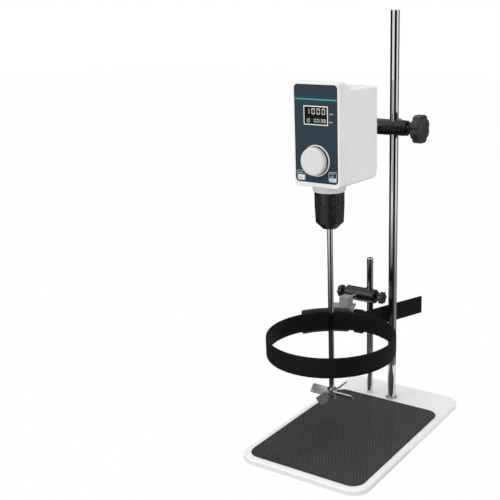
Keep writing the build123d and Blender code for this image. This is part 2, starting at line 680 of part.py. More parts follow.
with BuildPart() as encoder:
    with BuildSketch(front_plane(encoder_end, KNOB_Z)):
        RectangleRounded(ENCODER_WIDTH, ENCODER_WIDTH, SMALL_EDGE)
    extrude(amount=ENCODER_DEPTH)
    with BuildSketch(front_plane(BEZEL_INSIDE, KNOB_Z)):
        Circle(ENCODER_BUSH / 2)
    extrude(amount=BEZEL_INSIDE - bush_front)
    with BuildSketch(front_plane(cavity_end, KNOB_Z)):
        Circle(ENCODER_SHAFT / 2 + RUN)
    extrude(amount=cavity_end - bush_front, mode=Mode.SUBTRACT)
    chamfer(encoder.edges().group_by(Axis.Y)[0].sort_by(SortBy.RADIUS)[-1], SMALL_EDGE)
save(encoder.part, "encoder_body")

with BuildPart() as plunger:
    with BuildSketch(front_plane(plunger_back, KNOB_Z)):
        Circle(ENCODER_SHAFT / 2)
    extrude(amount=PLUNGER_LENGTH)
save(plunger.part, "encoder_plunger")

with BuildPart() as encoder_shaft:
    with BuildSketch(front_plane(plunger_front, KNOB_Z)):
        Circle(ENCODER_SHAFT / 2)
    extrude(amount=plunger_front - knob_roof)
    chamfer(encoder_shaft.edges().group_by(Axis.Y)[0], SMALL_EDGE)
save(encoder_shaft.part, "encoder_shaft")

with BuildPart() as knob:
    with BuildSketch(front_plane(knob_back, KNOB_Z)):
        Circle(KNOB_DIAMETER / 2)
    extrude(amount=KNOB_LENGTH, taper=KNOB_TAPER)
    fillet(knob.edges().group_by(Axis.Y)[0], KNOB_EDGE)
    with BuildSketch(front_plane(knob_back, KNOB_Z)):
        Circle(KNOB_DIAMETER / 2 - KNOB_WALL)
        Circle(KNOB_HUB_DIAMETER / 2, mode=Mode.SUBTRACT)
    extrude(amount=knob_back - knob_roof, mode=Mode.SUBTRACT)
    with BuildSketch(front_plane(knob_back, KNOB_Z)):
        Circle(KNOB_HUB_DIAMETER / 2)
    extrude(amount=knob_back - hub_back, mode=Mode.SUBTRACT)
    with BuildSketch(front_plane(hub_back, KNOB_Z)):
        Circle(ENCODER_SHAFT / 2 + FIT)
    extrude(amount=hub_back - knob_roof, mode=Mode.SUBTRACT)
    with BuildSketch(front_plane(knob_front, KNOB_Z)):
        with Locations((0, KNOB_DIAMETER / 2 - KNOB_EDGE - KNOB_MARK_LENGTH)):
            SlotOverall(KNOB_MARK_LENGTH, KNOB_MARK_WIDTH, rotation=90)
    extrude(amount=-KNOB_MARK_DEPTH, mode=Mode.SUBTRACT)
save(knob.part, "speed_knob")

with BuildPart() as knob_ring:
    with BuildSketch(front_plane(PANEL_FACE, KNOB_Z)):
        Circle(RING_DIAMETER / 2)
        Circle(RING_DIAMETER / 2 - RING_WIDTH, mode=Mode.SUBTRACT)
    extrude(amount=RING_HEIGHT)
    fillet(knob_ring.edges().group_by(Axis.Y)[0], RING_EDGE)
save(knob_ring.part, "knob_ring")

# ------------------------------------------------------------------ motor and spindle
motor_foot = floor_top + CHASSIS_THICKNESS
motor_top = motor_foot + MOTOR_LENGTH
rotor_bore = MOTOR_DIAMETER / 2 - MOTOR_WALL
axis_spot = (HEAD_OFFSET_X, SHAFT_Y)


def turned(points, x=HEAD_OFFSET_X, y=SHAFT_Y):
    """Solid of revolution about the upright line at (x, y); points are (radius, height)."""
    with BuildPart() as body:
        with BuildSketch(front_plane(y, 0, x)):
            with BuildLine():
                Polyline(*points, close=True)
            make_face()
        revolve(axis=Axis((x, y, 0), (0, 0, 1)))
    return body.part


with BuildPart() as motor:
    add(turned([(0, motor_foot), (MOTOR_DIAMETER / 2, motor_foot),
                (MOTOR_DIAMETER / 2, motor_top), (0, motor_top)]))
    chamfer(motor.edges().group_by(Axis.Z)[-1], TURNED_EDGE)
    add(turned([(0, motor_foot + MOTOR_END), (rotor_bore, motor_foot + MOTOR_END),
                (rotor_bore, motor_top - MOTOR_END), (0, motor_top - MOTOR_END)]),
        mode=Mode.SUBTRACT)
    add(rod_along_z(*axis_spot, motor_foot, motor_top, SPINDLE_DIAMETER + 2 * RUN),
        mode=Mode.SUBTRACT)
save(motor.part, "motor_body")

rotor_low = motor_foot + MOTOR_END + ROTOR_GAP
rotor_high = motor_top - MOTOR_END - ROTOR_GAP
spindle_seat = SPINDLE_DIAMETER / 2 + FIT
save(turned([(spindle_seat, rotor_low), (rotor_bore - ROTOR_GAP, rotor_low),
             (rotor_bore - ROTOR_GAP, rotor_high), (spindle_seat, rotor_high)]), "motor_rotor")

spindle_foot = CHUCK_TOP - SOCKET_DEPTH
save(rod_along_z(*axis_spot, spindle_foot, motor_top + SPINDLE_ABOVE_MOTOR, SPINDLE_DIAMETER,
                 SMALL_EDGE), "spindle")

bearing_foot = HEAD_BOTTOM - BEARING_HEIGHT
save(turned([(SPINDLE_DIAMETER / 2 + RUN, bearing_foot), (BEARING_DIAMETER / 2, bearing_foot),
             (BEARING_DIAMETER / 2, HEAD_BOTTOM), (SPINDLE_DIAMETER / 2 + RUN, HEAD_BOTTOM)]),
     "spindle_bearing")
pocket = BEARING_DIAMETER / 2 + FIT
save(turned([(spindle_hole, NOSE_BOTTOM), (NOSE_DIAMETER / 2 - TURNED_EDGE, NOSE_BOTTOM),
             (NOSE_DIAMETER / 2, NOSE_BOTTOM + TURNED_EDGE), (NOSE_TOP_DIAMETER / 2, HEAD_BOTTOM),
             (pocket, HEAD_BOTTOM), (pocket, bearing_foot), (spindle_hole, bearing_foot)]),
     "spindle_nose")

# ------------------------------------------------------------------ arm of the head
arm_start = chassis_back - CHASSIS_THICKNESS - ARM_INSIDE


def rod_along_y(x, z, y_front, y_back, diameter):
    """Round bar that runs front to back."""
    with BuildPart() as bar:
        with BuildSketch(front_plane(y_front, z, x)):
            Circle(diameter / 2)
        extrude(amount=y_front - y_back)
        chamfer(bar.edges().group_by(Axis.Y)[-1], ARM_EDGE)
    return bar.part


save(rod_along_y(HEAD_OFFSET_X, ARM_HEIGHT, arm_start, ROD_Y + ARM_TAIL, ARM_DIAMETER),
     "support_arm")

flange_back = HEAD_BACK + ARM_FLANGE_THICKNESS
with BuildPart() as arm_flange:
    with BuildSketch(front_plane(HEAD_BACK, ARM_HEIGHT)):
        Circle(ARM_FLANGE_DIAMETER / 2)
        Circle(ARM_DIAMETER / 2 + FIT, mode=Mode.SUBTRACT)
        with arm_screw_spots:
            Circle(ARM_SCREW / 2 + FIT, mode=Mode.SUBTRACT)
    extrude(amount=-ARM_FLANGE_THICKNESS)
    chamfer(arm_flange.edges().group_by(Axis.Y)[-1].sort_by(SortBy.RADIUS)[-1], ARM_EDGE)
save(arm_flange.part, "arm_flange")

with BuildPart() as arm_screws:
    with BuildSketch(front_plane(chassis_back - CHASSIS_THICKNESS, ARM_HEIGHT)):
        with arm_screw_spots:
            Circle(ARM_SCREW / 2)
    extrude(amount=chassis_back - CHASSIS_THICKNESS - flange_back)
    with BuildSketch(front_plane(flange_back, ARM_HEIGHT)):
        with arm_screw_spots:
            Circle(ARM_SCREW_HEAD_DIAMETER / 2)
    extrude(amount=-ARM_SCREW_HEAD)
    with BuildSketch(front_plane(flange_back + ARM_SCREW_HEAD, ARM_HEIGHT)):
        with arm_screw_spots:
            RegularPolygon(ARM_SCREW_HEX, 6)
    extrude(amount=ARM_SCREW_HEX_DEPTH, mode=Mode.SUBTRACT)
save(arm_screws.part, "arm_flange_screws")

# ------------------------------------------------------------------ keyless chuck
# Three jaws slide in slanting bores of the body.  A nut ring inside the sleeve rides
# on their threaded backs, so turning the sleeve moves all three along their bores.
chuck_radius = CHUCK_DIAMETER / 2
jaw_radius = JAW_DIAMETER / 2
jaw_slope = tan(radians(JAW_ANGLE))
jaw_rise = cos(radians(JAW_ANGLE))
jaw_tip = CHUCK_BOTTOM + JAW_RECESS
jaw_axis_at_tip = SHAFT_RADIUS + FIT + JAW_BACKOFF
nut_low = CONE_TOP + NUT_ABOVE_CONE
nut_high = nut_low + NUT_HEIGHT
shaft_top = CHUCK_BOTTOM + SHAFT_ENTRY
crown_radius = CHUCK_CROWN_DIAMETER / 2


def jaw_back(z):
    """Outermost radius of the jaws at height z, wherever they stand along their bores."""
    return jaw_axis_at_tip + (z - jaw_tip) * jaw_slope + jaw_radius / jaw_rise


def jaw_bar(diameter, low, high, angle):
    """Slanting bar on a jaw's axis, from low to high along it, turned by angle about the chuck."""
    slant = Plane(
        (HEAD_OFFSET_X + jaw_axis_at_tip * cos(radians(angle)),
         SHAFT_Y + jaw_axis_at_tip * sin(radians(angle)),
         jaw_tip),
        x_dir=(-sin(radians(angle)), cos(radians(angle)), 0),
        z_dir=(jaw_slope * cos(radians(angle)), jaw_slope * sin(radians(angle)), 1),
    )
    with BuildPart() as bar:
        with BuildSketch(slant.offset(low)):
            Circle(diameter / 2)
        extrude(amount=high - low)
    return bar.part


jaw_angles = [90, 210, 330]
bore_high = JAW_LENGTH + JAW_TRAVEL + 2 * RUN

with BuildPart() as chuck_body:
    add(turned([
        (0, CHUCK_BOTTOM),
        (jaw_back(CHUCK_BOTTOM) + NOSE_WALL - BODY_EDGE, CHUCK_BOTTOM),
        (jaw_back(CHUCK_BOTTOM) + NOSE_WALL, CHUCK_BOTTOM + BODY_EDGE),
        (jaw_back(nut_low) + NOSE_WALL, nut_low),
        (jaw_back(nut_low) - THREAD_DEPTH, nut_low),
        (jaw_back(nut_high) - THREAD_DEPTH, nut_high),
        (crown_radius, nut_high),
        (crown_radius, CHUCK_TOP),
        (0, CHUCK_TOP),
    ]))
    add(rod_along_z(*axis_spot, CHUCK_BOTTOM, shaft_top + CHUCK_EDGE,
                    SHAFT_DIAMETER + 2 * SHAFT_BORE_CLEARANCE),
        mode=Mode.SUBTRACT)
    add(rod_along_z(*axis_spot, spindle_foot, CHUCK_TOP, SPINDLE_DIAMETER + 2 * FIT),
        mode=Mode.SUBTRACT)
    for angle in jaw_angles:
        add(jaw_bar(JAW_DIAMETER + 2 * RUN, -JAW_DIAMETER, bore_high, angle), mode=Mode.SUBTRACT)
save(chuck_body.part, "chuck_body")

for number, angle in enumerate(jaw_angles, start=1):
    with BuildPart() as jaw:
        add(jaw_bar(JAW_DIAMETER, -JAW_DIAMETER, JAW_LENGTH, angle))
        with Locations(Plane((HEAD_OFFSET_X, SHAFT_Y, jaw_tip))):
            Box(2 * CHUCK_DIAMETER, 2 * CHUCK_DIAMETER, CHUCK_DIAMETER,
                align=(Align.CENTER, Align.CENTER, Align.MAX), mode=Mode.SUBTRACT)
            Box(2 * (SHAFT_RADIUS + FIT), 2 * (SHAFT_RADIUS + FIT), 2 * CHUCK_DIAMETER,
                rotation=(0, 0, angle), mode=Mode.SUBTRACT)
    save(jaw.part, f"chuck_jaw_{number}")


def ribbed(blank, z_low, z_high, radius, count):
    """Grip ring: blank with shallow hollow flutes cut round it between two heights."""
    flute = RIB_WIDTH / 2
    with BuildPart() as grip:
        add(blank)
        with BuildSketch(Plane((HEAD_OFFSET_X, SHAFT_Y, z_low))):
            with PolarLocations(radius + flute - RIB_DEPTH, count):
                Circle(flute)
        extrude(amount=z_high - z_low, mode=Mode.SUBTRACT)
    return grip.part


rear_ring_foot = CHUCK_TOP - REAR_RING_HEIGHT
rear_ring = turned([
    (crown_radius + FIT, rear_ring_foot),
    (chuck_radius, rear_ring_foot),
    (chuck_radius, CHUCK_TOP - CHUCK_EDGE),
    (chuck_radius - CHUCK_EDGE, CHUCK_TOP),
    (crown_radius + FIT, CHUCK_TOP),
])
save(ribbed(rear_ring, rear_ring_foot, CHUCK_TOP - RIB_MARGIN, chuck_radius, RIB_COUNT),
     "chuck_rear_ring")

sleeve_inner = chuck_radius - SLEEVE_WALL
mouth = jaw_back(CONE_BOTTOM) + NOSE_WALL + NUT_CLEARANCE
sleeve_blank = turned([
    (mouth, CONE_BOTTOM),
    (CONE_END_DIAMETER / 2, CONE_BOTTOM),
    (chuck_radius - SLEEVE_TAPER, CONE_TOP),
    (chuck_radius, SLEEVE_TOP - CHUCK_EDGE),
    (chuck_radius - CHUCK_EDGE, SLEEVE_TOP),
    (sleeve_inner, SLEEVE_TOP),
    (sleeve_inner, nut_low),
    (sleeve_inner - SLEEVE_TAPER, CONE_TOP + SLEEVE_WALL / 2),
])
save(ribbed(sleeve_blank, CONE_BOTTOM, SLEEVE_TOP - RIB_MARGIN, chuck_radius, RIB_COUNT), "chuck_sleeve")
save(turned([
    (jaw_back(nut_low + RUN) + NUT_CLEARANCE, nut_low + RUN),
    (sleeve_inner - FIT, nut_low + RUN),
    (sleeve_inner - FIT, nut_high - RUN),
    (jaw_back(nut_high - RUN) + NUT_CLEARANCE, nut_high - RUN),
]), "chuck_nut_ring")

# ------------------------------------------------------------------ stirring shaft, impeller
shaft_foot = shaft_top - SHAFT_LENGTH
hub_middle = shaft_foot + HUB_HEIGHT / 2
save(rod_along_z(*axis_spot, shaft_foot, shaft_top, SHAFT_DIAMETER, SMALL_EDGE), "stirring_shaft")

with BuildPart() as impeller:
    with BuildSketch(Plane((HEAD_OFFSET_X, SHAFT_Y, shaft_foot))):
        Circle(HUB_DIAMETER / 2)
    extrude(amount=HUB_HEIGHT)
    pitch = radians(BLADE_PITCH)
    for blade in range(BLADE_COUNT):
        turn = radians(blade * 360 / BLADE_COUNT)
        blade_plane = Plane(
            (HEAD_OFFSET_X, SHAFT_Y, hub_middle),
            x_dir=(cos(turn), sin(turn), 0),
            z_dir=(-sin(turn) * sin(pitch), cos(turn) * sin(pitch), cos(pitch)),
        )
        with BuildSketch(blade_plane):
            with Locations((IMPELLER_DIAMETER / 4 + SHAFT_RADIUS / 2, 0)):
                RectangleRounded(IMPELLER_DIAMETER / 2 - SHAFT_RADIUS, BLADE_WIDTH, BLADE_CORNER)
        extrude(amount=BLADE_THICKNESS / 2, both=True)
    add(rod_along_z(*axis_spot, shaft_foot, shaft_foot + HUB_HEIGHT, SHAFT_DIAMETER + 2 * FIT),
        mode=Mode.SUBTRACT)
save(impeller.part, "impeller")


# ------------------------------------------------------------------ cross clamps
def along_x(x, y, z, way=1):
    """Plane whose normal runs along X from (x, y, z); way is +1 to the right, -1 to the left."""
    return Plane((x, y, z), x_dir=(0, way, 0), z_dir=(way, 0, 0))


def bar_along_x(x_from, x_to, z, diameter, edge=0.0):
    """Round bar along X at the stand rod's depth, with its far end chamfered."""
    way = 1 if x_to > x_from else -1
    with BuildPart() as bar:
        with BuildSketch(along_x(x_from, ROD_Y, z, way)):
            Circle(diameter / 2)
        extrude(amount=abs(x_to - x_from))
        if edge:
            chamfer(bar.faces().sort_by(Axis((0, 0, 0), (way, 0, 0)))[-1].edges(), edge)
    return bar.part


def clamp_body(left, right, z, diameter, upright, level, screw_diameter):
    """Cross clamp: an upright bore, a front-to-back bore and a screw hole from each end.

    upright and level are (x, diameter) of the bars that pass through.
    """
    with BuildPart() as body:
        add(bar_along_x(left, right, z, diameter))
        chamfer(body.faces().filter_by(Axis.X).edges(), CLAMP_EDGE)
        add(rod_along_z(upright[0], ROD_Y, z - diameter, z + diameter, upright[1] + 2 * RUN),
            mode=Mode.SUBTRACT)
        with BuildSketch(front_plane(ROD_Y + diameter, z, level[0])):
            Circle(level[1] / 2 + RUN)
        extrude(amount=2 * diameter, mode=Mode.SUBTRACT)
        for x_from, x_to in ((upright[0], right), (level[0], left)):
            add(bar_along_x(x_from, x_to, z, screw_diameter + 2 * RUN), mode=Mode.SUBTRACT)
    return body.part


def star_knob(start, way, z, knob, screw_diameter, bite):
    """Scalloped knob with a domed face; knob is (diameter, length, dome, scallops, hub)."""
    diameter, length, dome, scallops, hub = knob
    count, scallop_diameter, scallop_out = scallops
    hub_diameter, hub_length = hub
    rim = start + way * hub_length
    back_radius = diameter * KNOB_BACK_RATIO / 2
    with BuildPart() as star:
        with BuildSketch(along_x(rim, ROD_Y, z, way)):
            Circle(diameter / 2)
            with PolarLocations(diameter / 2 + scallop_out, count):
                Circle(scallop_diameter / 2, mode=Mode.SUBTRACT)
        extrude(amount=length)
        with BuildSketch(along_x(rim + way * length, ROD_Y, z, way)):
            Circle(diameter * KNOB_FACE_RATIO / 2)
        extrude(amount=dome, taper=KNOB_DOME_TAPER)
        with BuildSketch(along_x(rim, ROD_Y, z, -way)):
            Circle(back_radius)
        extrude(amount=hub_length, taper=degrees(atan2(back_radius - hub_diameter / 2, hub_length)))
        add(bar_along_x(start, start + way * bite, z, screw_diameter + 2 * FIT), mode=Mode.SUBTRACT)
    return star.part


upper_left = HEAD_OFFSET_X - CLAMP_HALF_LENGTH
upper_right = HEAD_OFFSET_X + CLAMP_HALF_LENGTH
save(clamp_body(upper_left, upper_right, ARM_HEIGHT, CLAMP_DIAMETER,
                (0, ROD_DIAMETER), (HEAD_OFFSET_X, ARM_DIAMETER), CLAMP_SCREW),
     "upper_clamp_body")

with BuildPart() as end_rings:
    for x, way in ((upper_left, -1), (upper_right, 1)):
        with BuildSketch(along_x(x, ROD_Y, ARM_HEIGHT, way)):
            Circle(END_RING_DIAMETER / 2)
            Circle(CLAMP_SCREW / 2 + RUN, mode=Mode.SUBTRACT)
            with PolarLocations(END_RING_DIAMETER / 2, END_RING_SLOTS):
                Rectangle(2 * END_RING_SLOT_DEPTH, END_RING_SLOT_WIDTH, mode=Mode.SUBTRACT)
        extrude(amount=END_RING_LENGTH)
save(end_rings.part, "upper_clamp_end_rings")

star_scallops = (STAR_LOBES, STAR_SCALLOP_DIAMETER, STAR_SCALLOP_OUT)
star_shape = (STAR_DIAMETER, STAR_LENGTH, STAR_DOME, star_scallops,
              (STAR_HUB_DIAMETER, STAR_HUB_LENGTH))
for name, x, bar, end, way in (
    ("rod_clamp", 0, ROD_DIAMETER, upper_right, 1),
    ("arm_clamp", HEAD_OFFSET_X, ARM_DIAMETER, upper_left, -1),
):
    pad_start = x + way * (bar / 2 + RUN)
    pad_end = pad_start + way * PAD_LENGTH
    knob_start = end + way * (END_RING_LENGTH + STAR_GAP)
    save(bar_along_x(pad_start, pad_end, ARM_HEIGHT, CLAMP_SCREW), f"{name}_pad")
    save(bar_along_x(pad_end, knob_start + way * SCREW_BITE, ARM_HEIGHT, CLAMP_SCREW,
                     SMALL_EDGE),
         f"{name}_screw")
    save(star_knob(knob_start, way, ARM_HEIGHT, star_shape, CLAMP_SCREW, SCREW_BITE),
         f"{name}_knob")

save(clamp_body(LOWER_CLAMP_LEFT, LOWER_CLAMP_RIGHT, LOWER_CLAMP_HEIGHT, LOWER_CLAMP_DIAMETER,
                (POST_OFFSET_X, POST_DIAMETER), (HOLDER_ARM_X, HOLDER_ARM_DIAMETER), LOWER_SCREW),
     "lower_clamp_body")

for name, x, bar, end, way in (
    ("post_clamp", POST_OFFSET_X, POST_DIAMETER, LOWER_CLAMP_RIGHT, 1),
    ("holder_clamp", HOLDER_ARM_X, HOLDER_ARM_DIAMETER, LOWER_CLAMP_LEFT, -1),
):
    pad_start = x + way * (bar / 2 + RUN)
    pad_end = pad_start + way * LOWER_PAD_LENGTH
    thumb_start = end + way * THUMB_GAP
    save(bar_along_x(pad_start, pad_end, LOWER_CLAMP_HEIGHT, LOWER_SCREW), f"{name}_pad")
    with BuildPart() as thumb_screw:
        add(bar_along_x(pad_end, thumb_start + way, LOWER_CLAMP_HEIGHT, LOWER_SCREW))
        with BuildSketch(along_x(thumb_start, ROD_Y, LOWER_CLAMP_HEIGHT, way)):
            Circle(THUMB_DIAMETER / 2 - THUMB_LOBE_DIAMETER / 4)
            with PolarLocations((THUMB_DIAMETER - THUMB_LOBE_DIAMETER) / 2, THUMB_LOBES):
                Circle(THUMB_LOBE_DIAMETER / 2)
        extrude(amount=THUMB_LENGTH)
    save(thumb_screw.part, f"{name}_thumb_screw")

# ------------------------------------------------------------------ vessel holder
# Angles round the vessel are counted from straight back, positive to the left.


def round_vessel(radius, angle, z):
    """Plane at an angle round the vessel: its X runs to the left, its normal outwards."""
    turn = radians(angle)
    return Plane(
        (VESSEL_X - radius * sin(turn), VESSEL_Y + radius * cos(turn), z),
        x_dir=(-cos(turn), -sin(turn), 0),
        z_dir=(-sin(turn), cos(turn), 0),
    )


bracket_angle = degrees(asin((VESSEL_X - HOLDER_ARM_X) / JAW_PLATE_OUTER))
bracket_inner = JAW_PLATE_OUTER + FIT
bracket_top = LOWER_CLAMP_HEIGHT - SOCKET_BLOCK / 2
bracket_foot = STRAP_CENTRE - JAW_PIN_SPACING
socket_front = VESSEL_Y + JAW_PLATE_OUTER * cos(radians(bracket_angle)) + JAW_PIN_HEAD / 2
socket_back = socket_front + SOCKET_BLOCK_LENGTH
holder_arm_start = socket_back - SOCKET_BITE
pin_spots = [STRAP_CENTRE - JAW_PIN_SPACING / 2, STRAP_CENTRE + JAW_PIN_SPACING / 2]

save(rod_along_y(HOLDER_ARM_X, LOWER_CLAMP_HEIGHT, holder_arm_start, ROD_Y + HOLDER_ARM_TAIL,
                 HOLDER_ARM_DIAMETER), "holder_arm")

with BuildPart() as bracket:
    with BuildSketch(round_vessel(bracket_inner, bracket_angle, bracket_foot)):
        Rectangle(BRACKET_WIDTH, bracket_top - bracket_foot, align=(Align.CENTER, Align.MIN))
    extrude(amount=BRACKET_THICKNESS)
    with BuildSketch(round_vessel(bracket_inner, bracket_angle, bracket_top)):
        Rectangle(BRACKET_WIDTH, BRACKET_THICKNESS, align=(Align.CENTER, Align.MAX))
    extrude(amount=BRACKET_REACH)
    with Locations((HOLDER_ARM_X, socket_front, bracket_top)):
        Box(SOCKET_BLOCK, SOCKET_BLOCK_LENGTH, SOCKET_BLOCK,
            align=(Align.CENTER, Align.MIN, Align.MIN))
    with BuildSketch(front_plane(socket_back, LOWER_CLAMP_HEIGHT, HOLDER_ARM_X)):
        Circle(HOLDER_ARM_DIAMETER / 2 + FIT)
    extrude(amount=socket_back - holder_arm_start, mode=Mode.SUBTRACT)
    for pin_z in pin_spots:
        with BuildSketch(round_vessel(bracket_inner, bracket_angle, pin_z)):
            Circle(JAW_PIN / 2 + FIT)
        extrude(amount=BRACKET_THICKNESS, mode=Mode.SUBTRACT)
save(bracket.part, "holder_bracket")


def vessel_arc(inner, outer, start, end, height):
    """Upright curved plate round the vessel, centred on the strap's height."""
    with BuildPart() as arc_plate:
        with BuildSketch(Plane((VESSEL_X, VESSEL_Y, STRAP_CENTRE))):
            with BuildLine():
                inner_arc = CenterArc((0, 0), inner, STRAIGHT_BACK + start, end - start)
                outer_arc = CenterArc((0, 0), outer, STRAIGHT_BACK + start, end - start)
                Line(inner_arc @ 0, outer_arc @ 0)
                Line(inner_arc @ 1, outer_arc @ 1)
            make_face()
        extrude(amount=height / 2, both=True)
    return arc_plate.part


with BuildPart() as jaw_plate:
    add(vessel_arc(JAW_PLATE_INNER, JAW_PLATE_OUTER, JAW_PLATE_START, JAW_PLATE_END,
                   JAW_PLATE_HEIGHT))
    fillet(jaw_plate.edges().filter_by(GeomType.LINE).filter_by(Axis.Z, reverse=True), JAW_PLATE_EDGE)
    for pin_z in pin_spots:
        with BuildSketch(round_vessel(JAW_PLATE_OUTER - JAW_PIN_ROOT, bracket_angle, pin_z)):
            Circle(JAW_PIN / 2)
        extrude(amount=JAW_PIN_ROOT + FIT + BRACKET_THICKNESS)
        with BuildSketch(round_vessel(bracket_inner + BRACKET_THICKNESS, bracket_angle, pin_z)):
            Circle(JAW_PIN_HEAD / 2)
        extrude(amount=JAW_PIN_HEAD_HEIGHT, taper=JAW_PIN_HEAD_TAPER)
save(jaw_plate.part, "vessel_jaw_plate")

strap_middle = (STRAP_INNER + STRAP_OUTER) / 2
tail_root = round_vessel(strap_middle, TAIL_START, STRAP_CENTRE)


def tail_bar(length, thickness, height):
    """Flat bar along the free end of the strap."""
    run = Plane(
        tail_root.origin,
        x_dir=(cos(radians(TAIL_ANGLE)), sin(radians(TAIL_ANGLE)), 0),
        z_dir=(0, 0, 1),
    )
    with BuildPart() as bar:
        with BuildSketch(run):
            Rectangle(length, thickness, align=(Align.MIN, Align.CENTER))
        extrude(amount=height / 2, both=True)
    return bar.part


with BuildPart() as strap:
    with BuildSketch(Plane((VESSEL_X, VESSEL_Y, STRAP_CENTRE))):
        Circle(STRAP_OUTER)
    extrude(amount=STRAP_HEIGHT / 2, both=True)
    add(tail_bar(TAIL_LENGTH, STRAP_THICKNESS, STRAP_HEIGHT))
    with BuildSketch(Plane((VESSEL_X, VESSEL_Y, STRAP_CENTRE))):
        Circle(STRAP_INNER)
    extrude(amount=STRAP_HEIGHT, both=True, mode=Mode.SUBTRACT)
save(strap.part, "vessel_strap")

with BuildPart() as buckle:
    with BuildSketch(round_vessel(JAW_PLATE_INNER, TAIL_START, STRAP_CENTRE)):
        RectangleRounded(BUCKLE_WIDTH, JAW_PLATE_HEIGHT, BUCKLE_CORNER)
    extrude(amount=BUCKLE_THICKNESS)
    add(tail_bar(TAIL_LENGTH, STRAP_THICKNESS + 2 * SEAT, STRAP_HEIGHT + 2 * SEAT),
        mode=Mode.SUBTRACT)
save(buckle.part, "strap_buckle")
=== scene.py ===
# %% [markdown]
# # Overhead stirrer
# A laboratory stirrer: a motor head on a rod stand turns a steel shaft with an
# impeller. The hard parts come from a CAD model and are already in their places.
# This notebook gives them their finishes, adds the small printed and woven
# details that CAD leaves out and two bands of painted shade, and sets the pieces in a
# plain white studio.

import math

import bmesh
import bpy
from mathutils import Matrix, Vector


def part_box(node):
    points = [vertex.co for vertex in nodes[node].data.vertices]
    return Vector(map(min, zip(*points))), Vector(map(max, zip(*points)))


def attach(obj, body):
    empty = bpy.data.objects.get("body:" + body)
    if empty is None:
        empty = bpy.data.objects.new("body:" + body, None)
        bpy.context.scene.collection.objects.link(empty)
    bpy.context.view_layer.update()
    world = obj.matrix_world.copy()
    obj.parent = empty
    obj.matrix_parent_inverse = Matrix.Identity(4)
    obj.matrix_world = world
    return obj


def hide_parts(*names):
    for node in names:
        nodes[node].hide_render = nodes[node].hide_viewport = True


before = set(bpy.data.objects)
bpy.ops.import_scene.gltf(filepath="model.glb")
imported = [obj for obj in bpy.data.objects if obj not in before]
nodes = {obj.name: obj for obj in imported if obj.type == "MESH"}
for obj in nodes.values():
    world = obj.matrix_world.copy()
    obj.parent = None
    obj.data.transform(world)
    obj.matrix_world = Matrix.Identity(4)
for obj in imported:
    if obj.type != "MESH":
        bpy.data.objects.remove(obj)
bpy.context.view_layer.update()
scene = bpy.context.scene
MM = 0.001

# %% [markdown]
# ## Camera
# The stirrer is seen from the front right and a little from above. The lens is
# a short telephoto, and the frame is shifted, because the stirrer stands well
# to the right of the point at which the lens is aimed.

# %% Camera
CAMERA_PLACE = (0.5647, -0.9516, 0.5868)
CAMERA_TURN = 0.523   # radians to the left of straight back
CAMERA_DIP = 0.283    # radians below the horizon
SENSOR = 36.0
LENS = 59.0
SHIFT = (-0.232, 0.0223)

camera_data = bpy.data.cameras.new("camera")
camera_data.sensor_width = SENSOR
camera_data.lens = LENS
camera_data.shift_x, camera_data.shift_y = SHIFT
camera = bpy.data.objects.new("camera", camera_data)
camera.location = CAMERA_PLACE
camera.rotation_euler = (math.pi / 2 - CAMERA_DIP, 0, CAMERA_TURN)
scene.collection.objects.link(camera)
scene.camera = camera
scene.view_settings.view_transform = "Standard"
print("camera", tuple(round(v, 3) for v in camera.location))

# %% [markdown]
# ## One helper for shader nodes
# A shader tree is a list of nodes and the links between them. `add` makes one
# node, sets its options, and either links or sets each input.

# %% Node helper
def add(tree, kind, inputs=None, **options):
    """Adds one node; an input is linked if it is given a socket, else it is set."""
    made = tree.nodes.new(kind)
    for option, value in options.items():
        setattr(made, option, value)
    for socket, value in (inputs or {}).items():
        if isinstance(value, bpy.types.NodeSocket):
            tree.links.new(value, made.inputs[socket])
        else:
            made.inputs[socket].default_value = value
    return made


def linear(hex_colour):
    """sRGB hex, such as #34424C, by the standard curve to the linear colour of a shader."""
    values = [int(hex_colour[i:i + 2], 16) / 255 for i in (1, 3, 5)]
    return [v / 12.92 if v <= 0.04045 else ((v + 0.055) / 1.055) ** 2.4 for v in values] + [1.0]


print("mid grey #808080 is", round(linear("#808080")[0], 3), "in linear light")

# %% [markdown]
# ## One recipe for hard finishes
# Paint, moulded plastic and polished steel look different, but each is a base
# colour with grain in three places: the colour, the gloss and the surface. So
# one recipe takes a list of grain layers. Each layer has a size in millimetres,
# a stretch for brushed or drawn metal, and how much it changes each of the three.

# %% Finish recipe
EVEN = (1, 1, 1)
ALONG_X = (0.04, 1, 1)
ALONG_Y = (1, 0.04, 1)
ALONG_Z = (1, 1, 0.04)
GRAIN_DETAIL = 3.0
GRAIN_RANGE = {"From Min": 0.3, "From Max": 0.7}   # most of the noise lies in this range


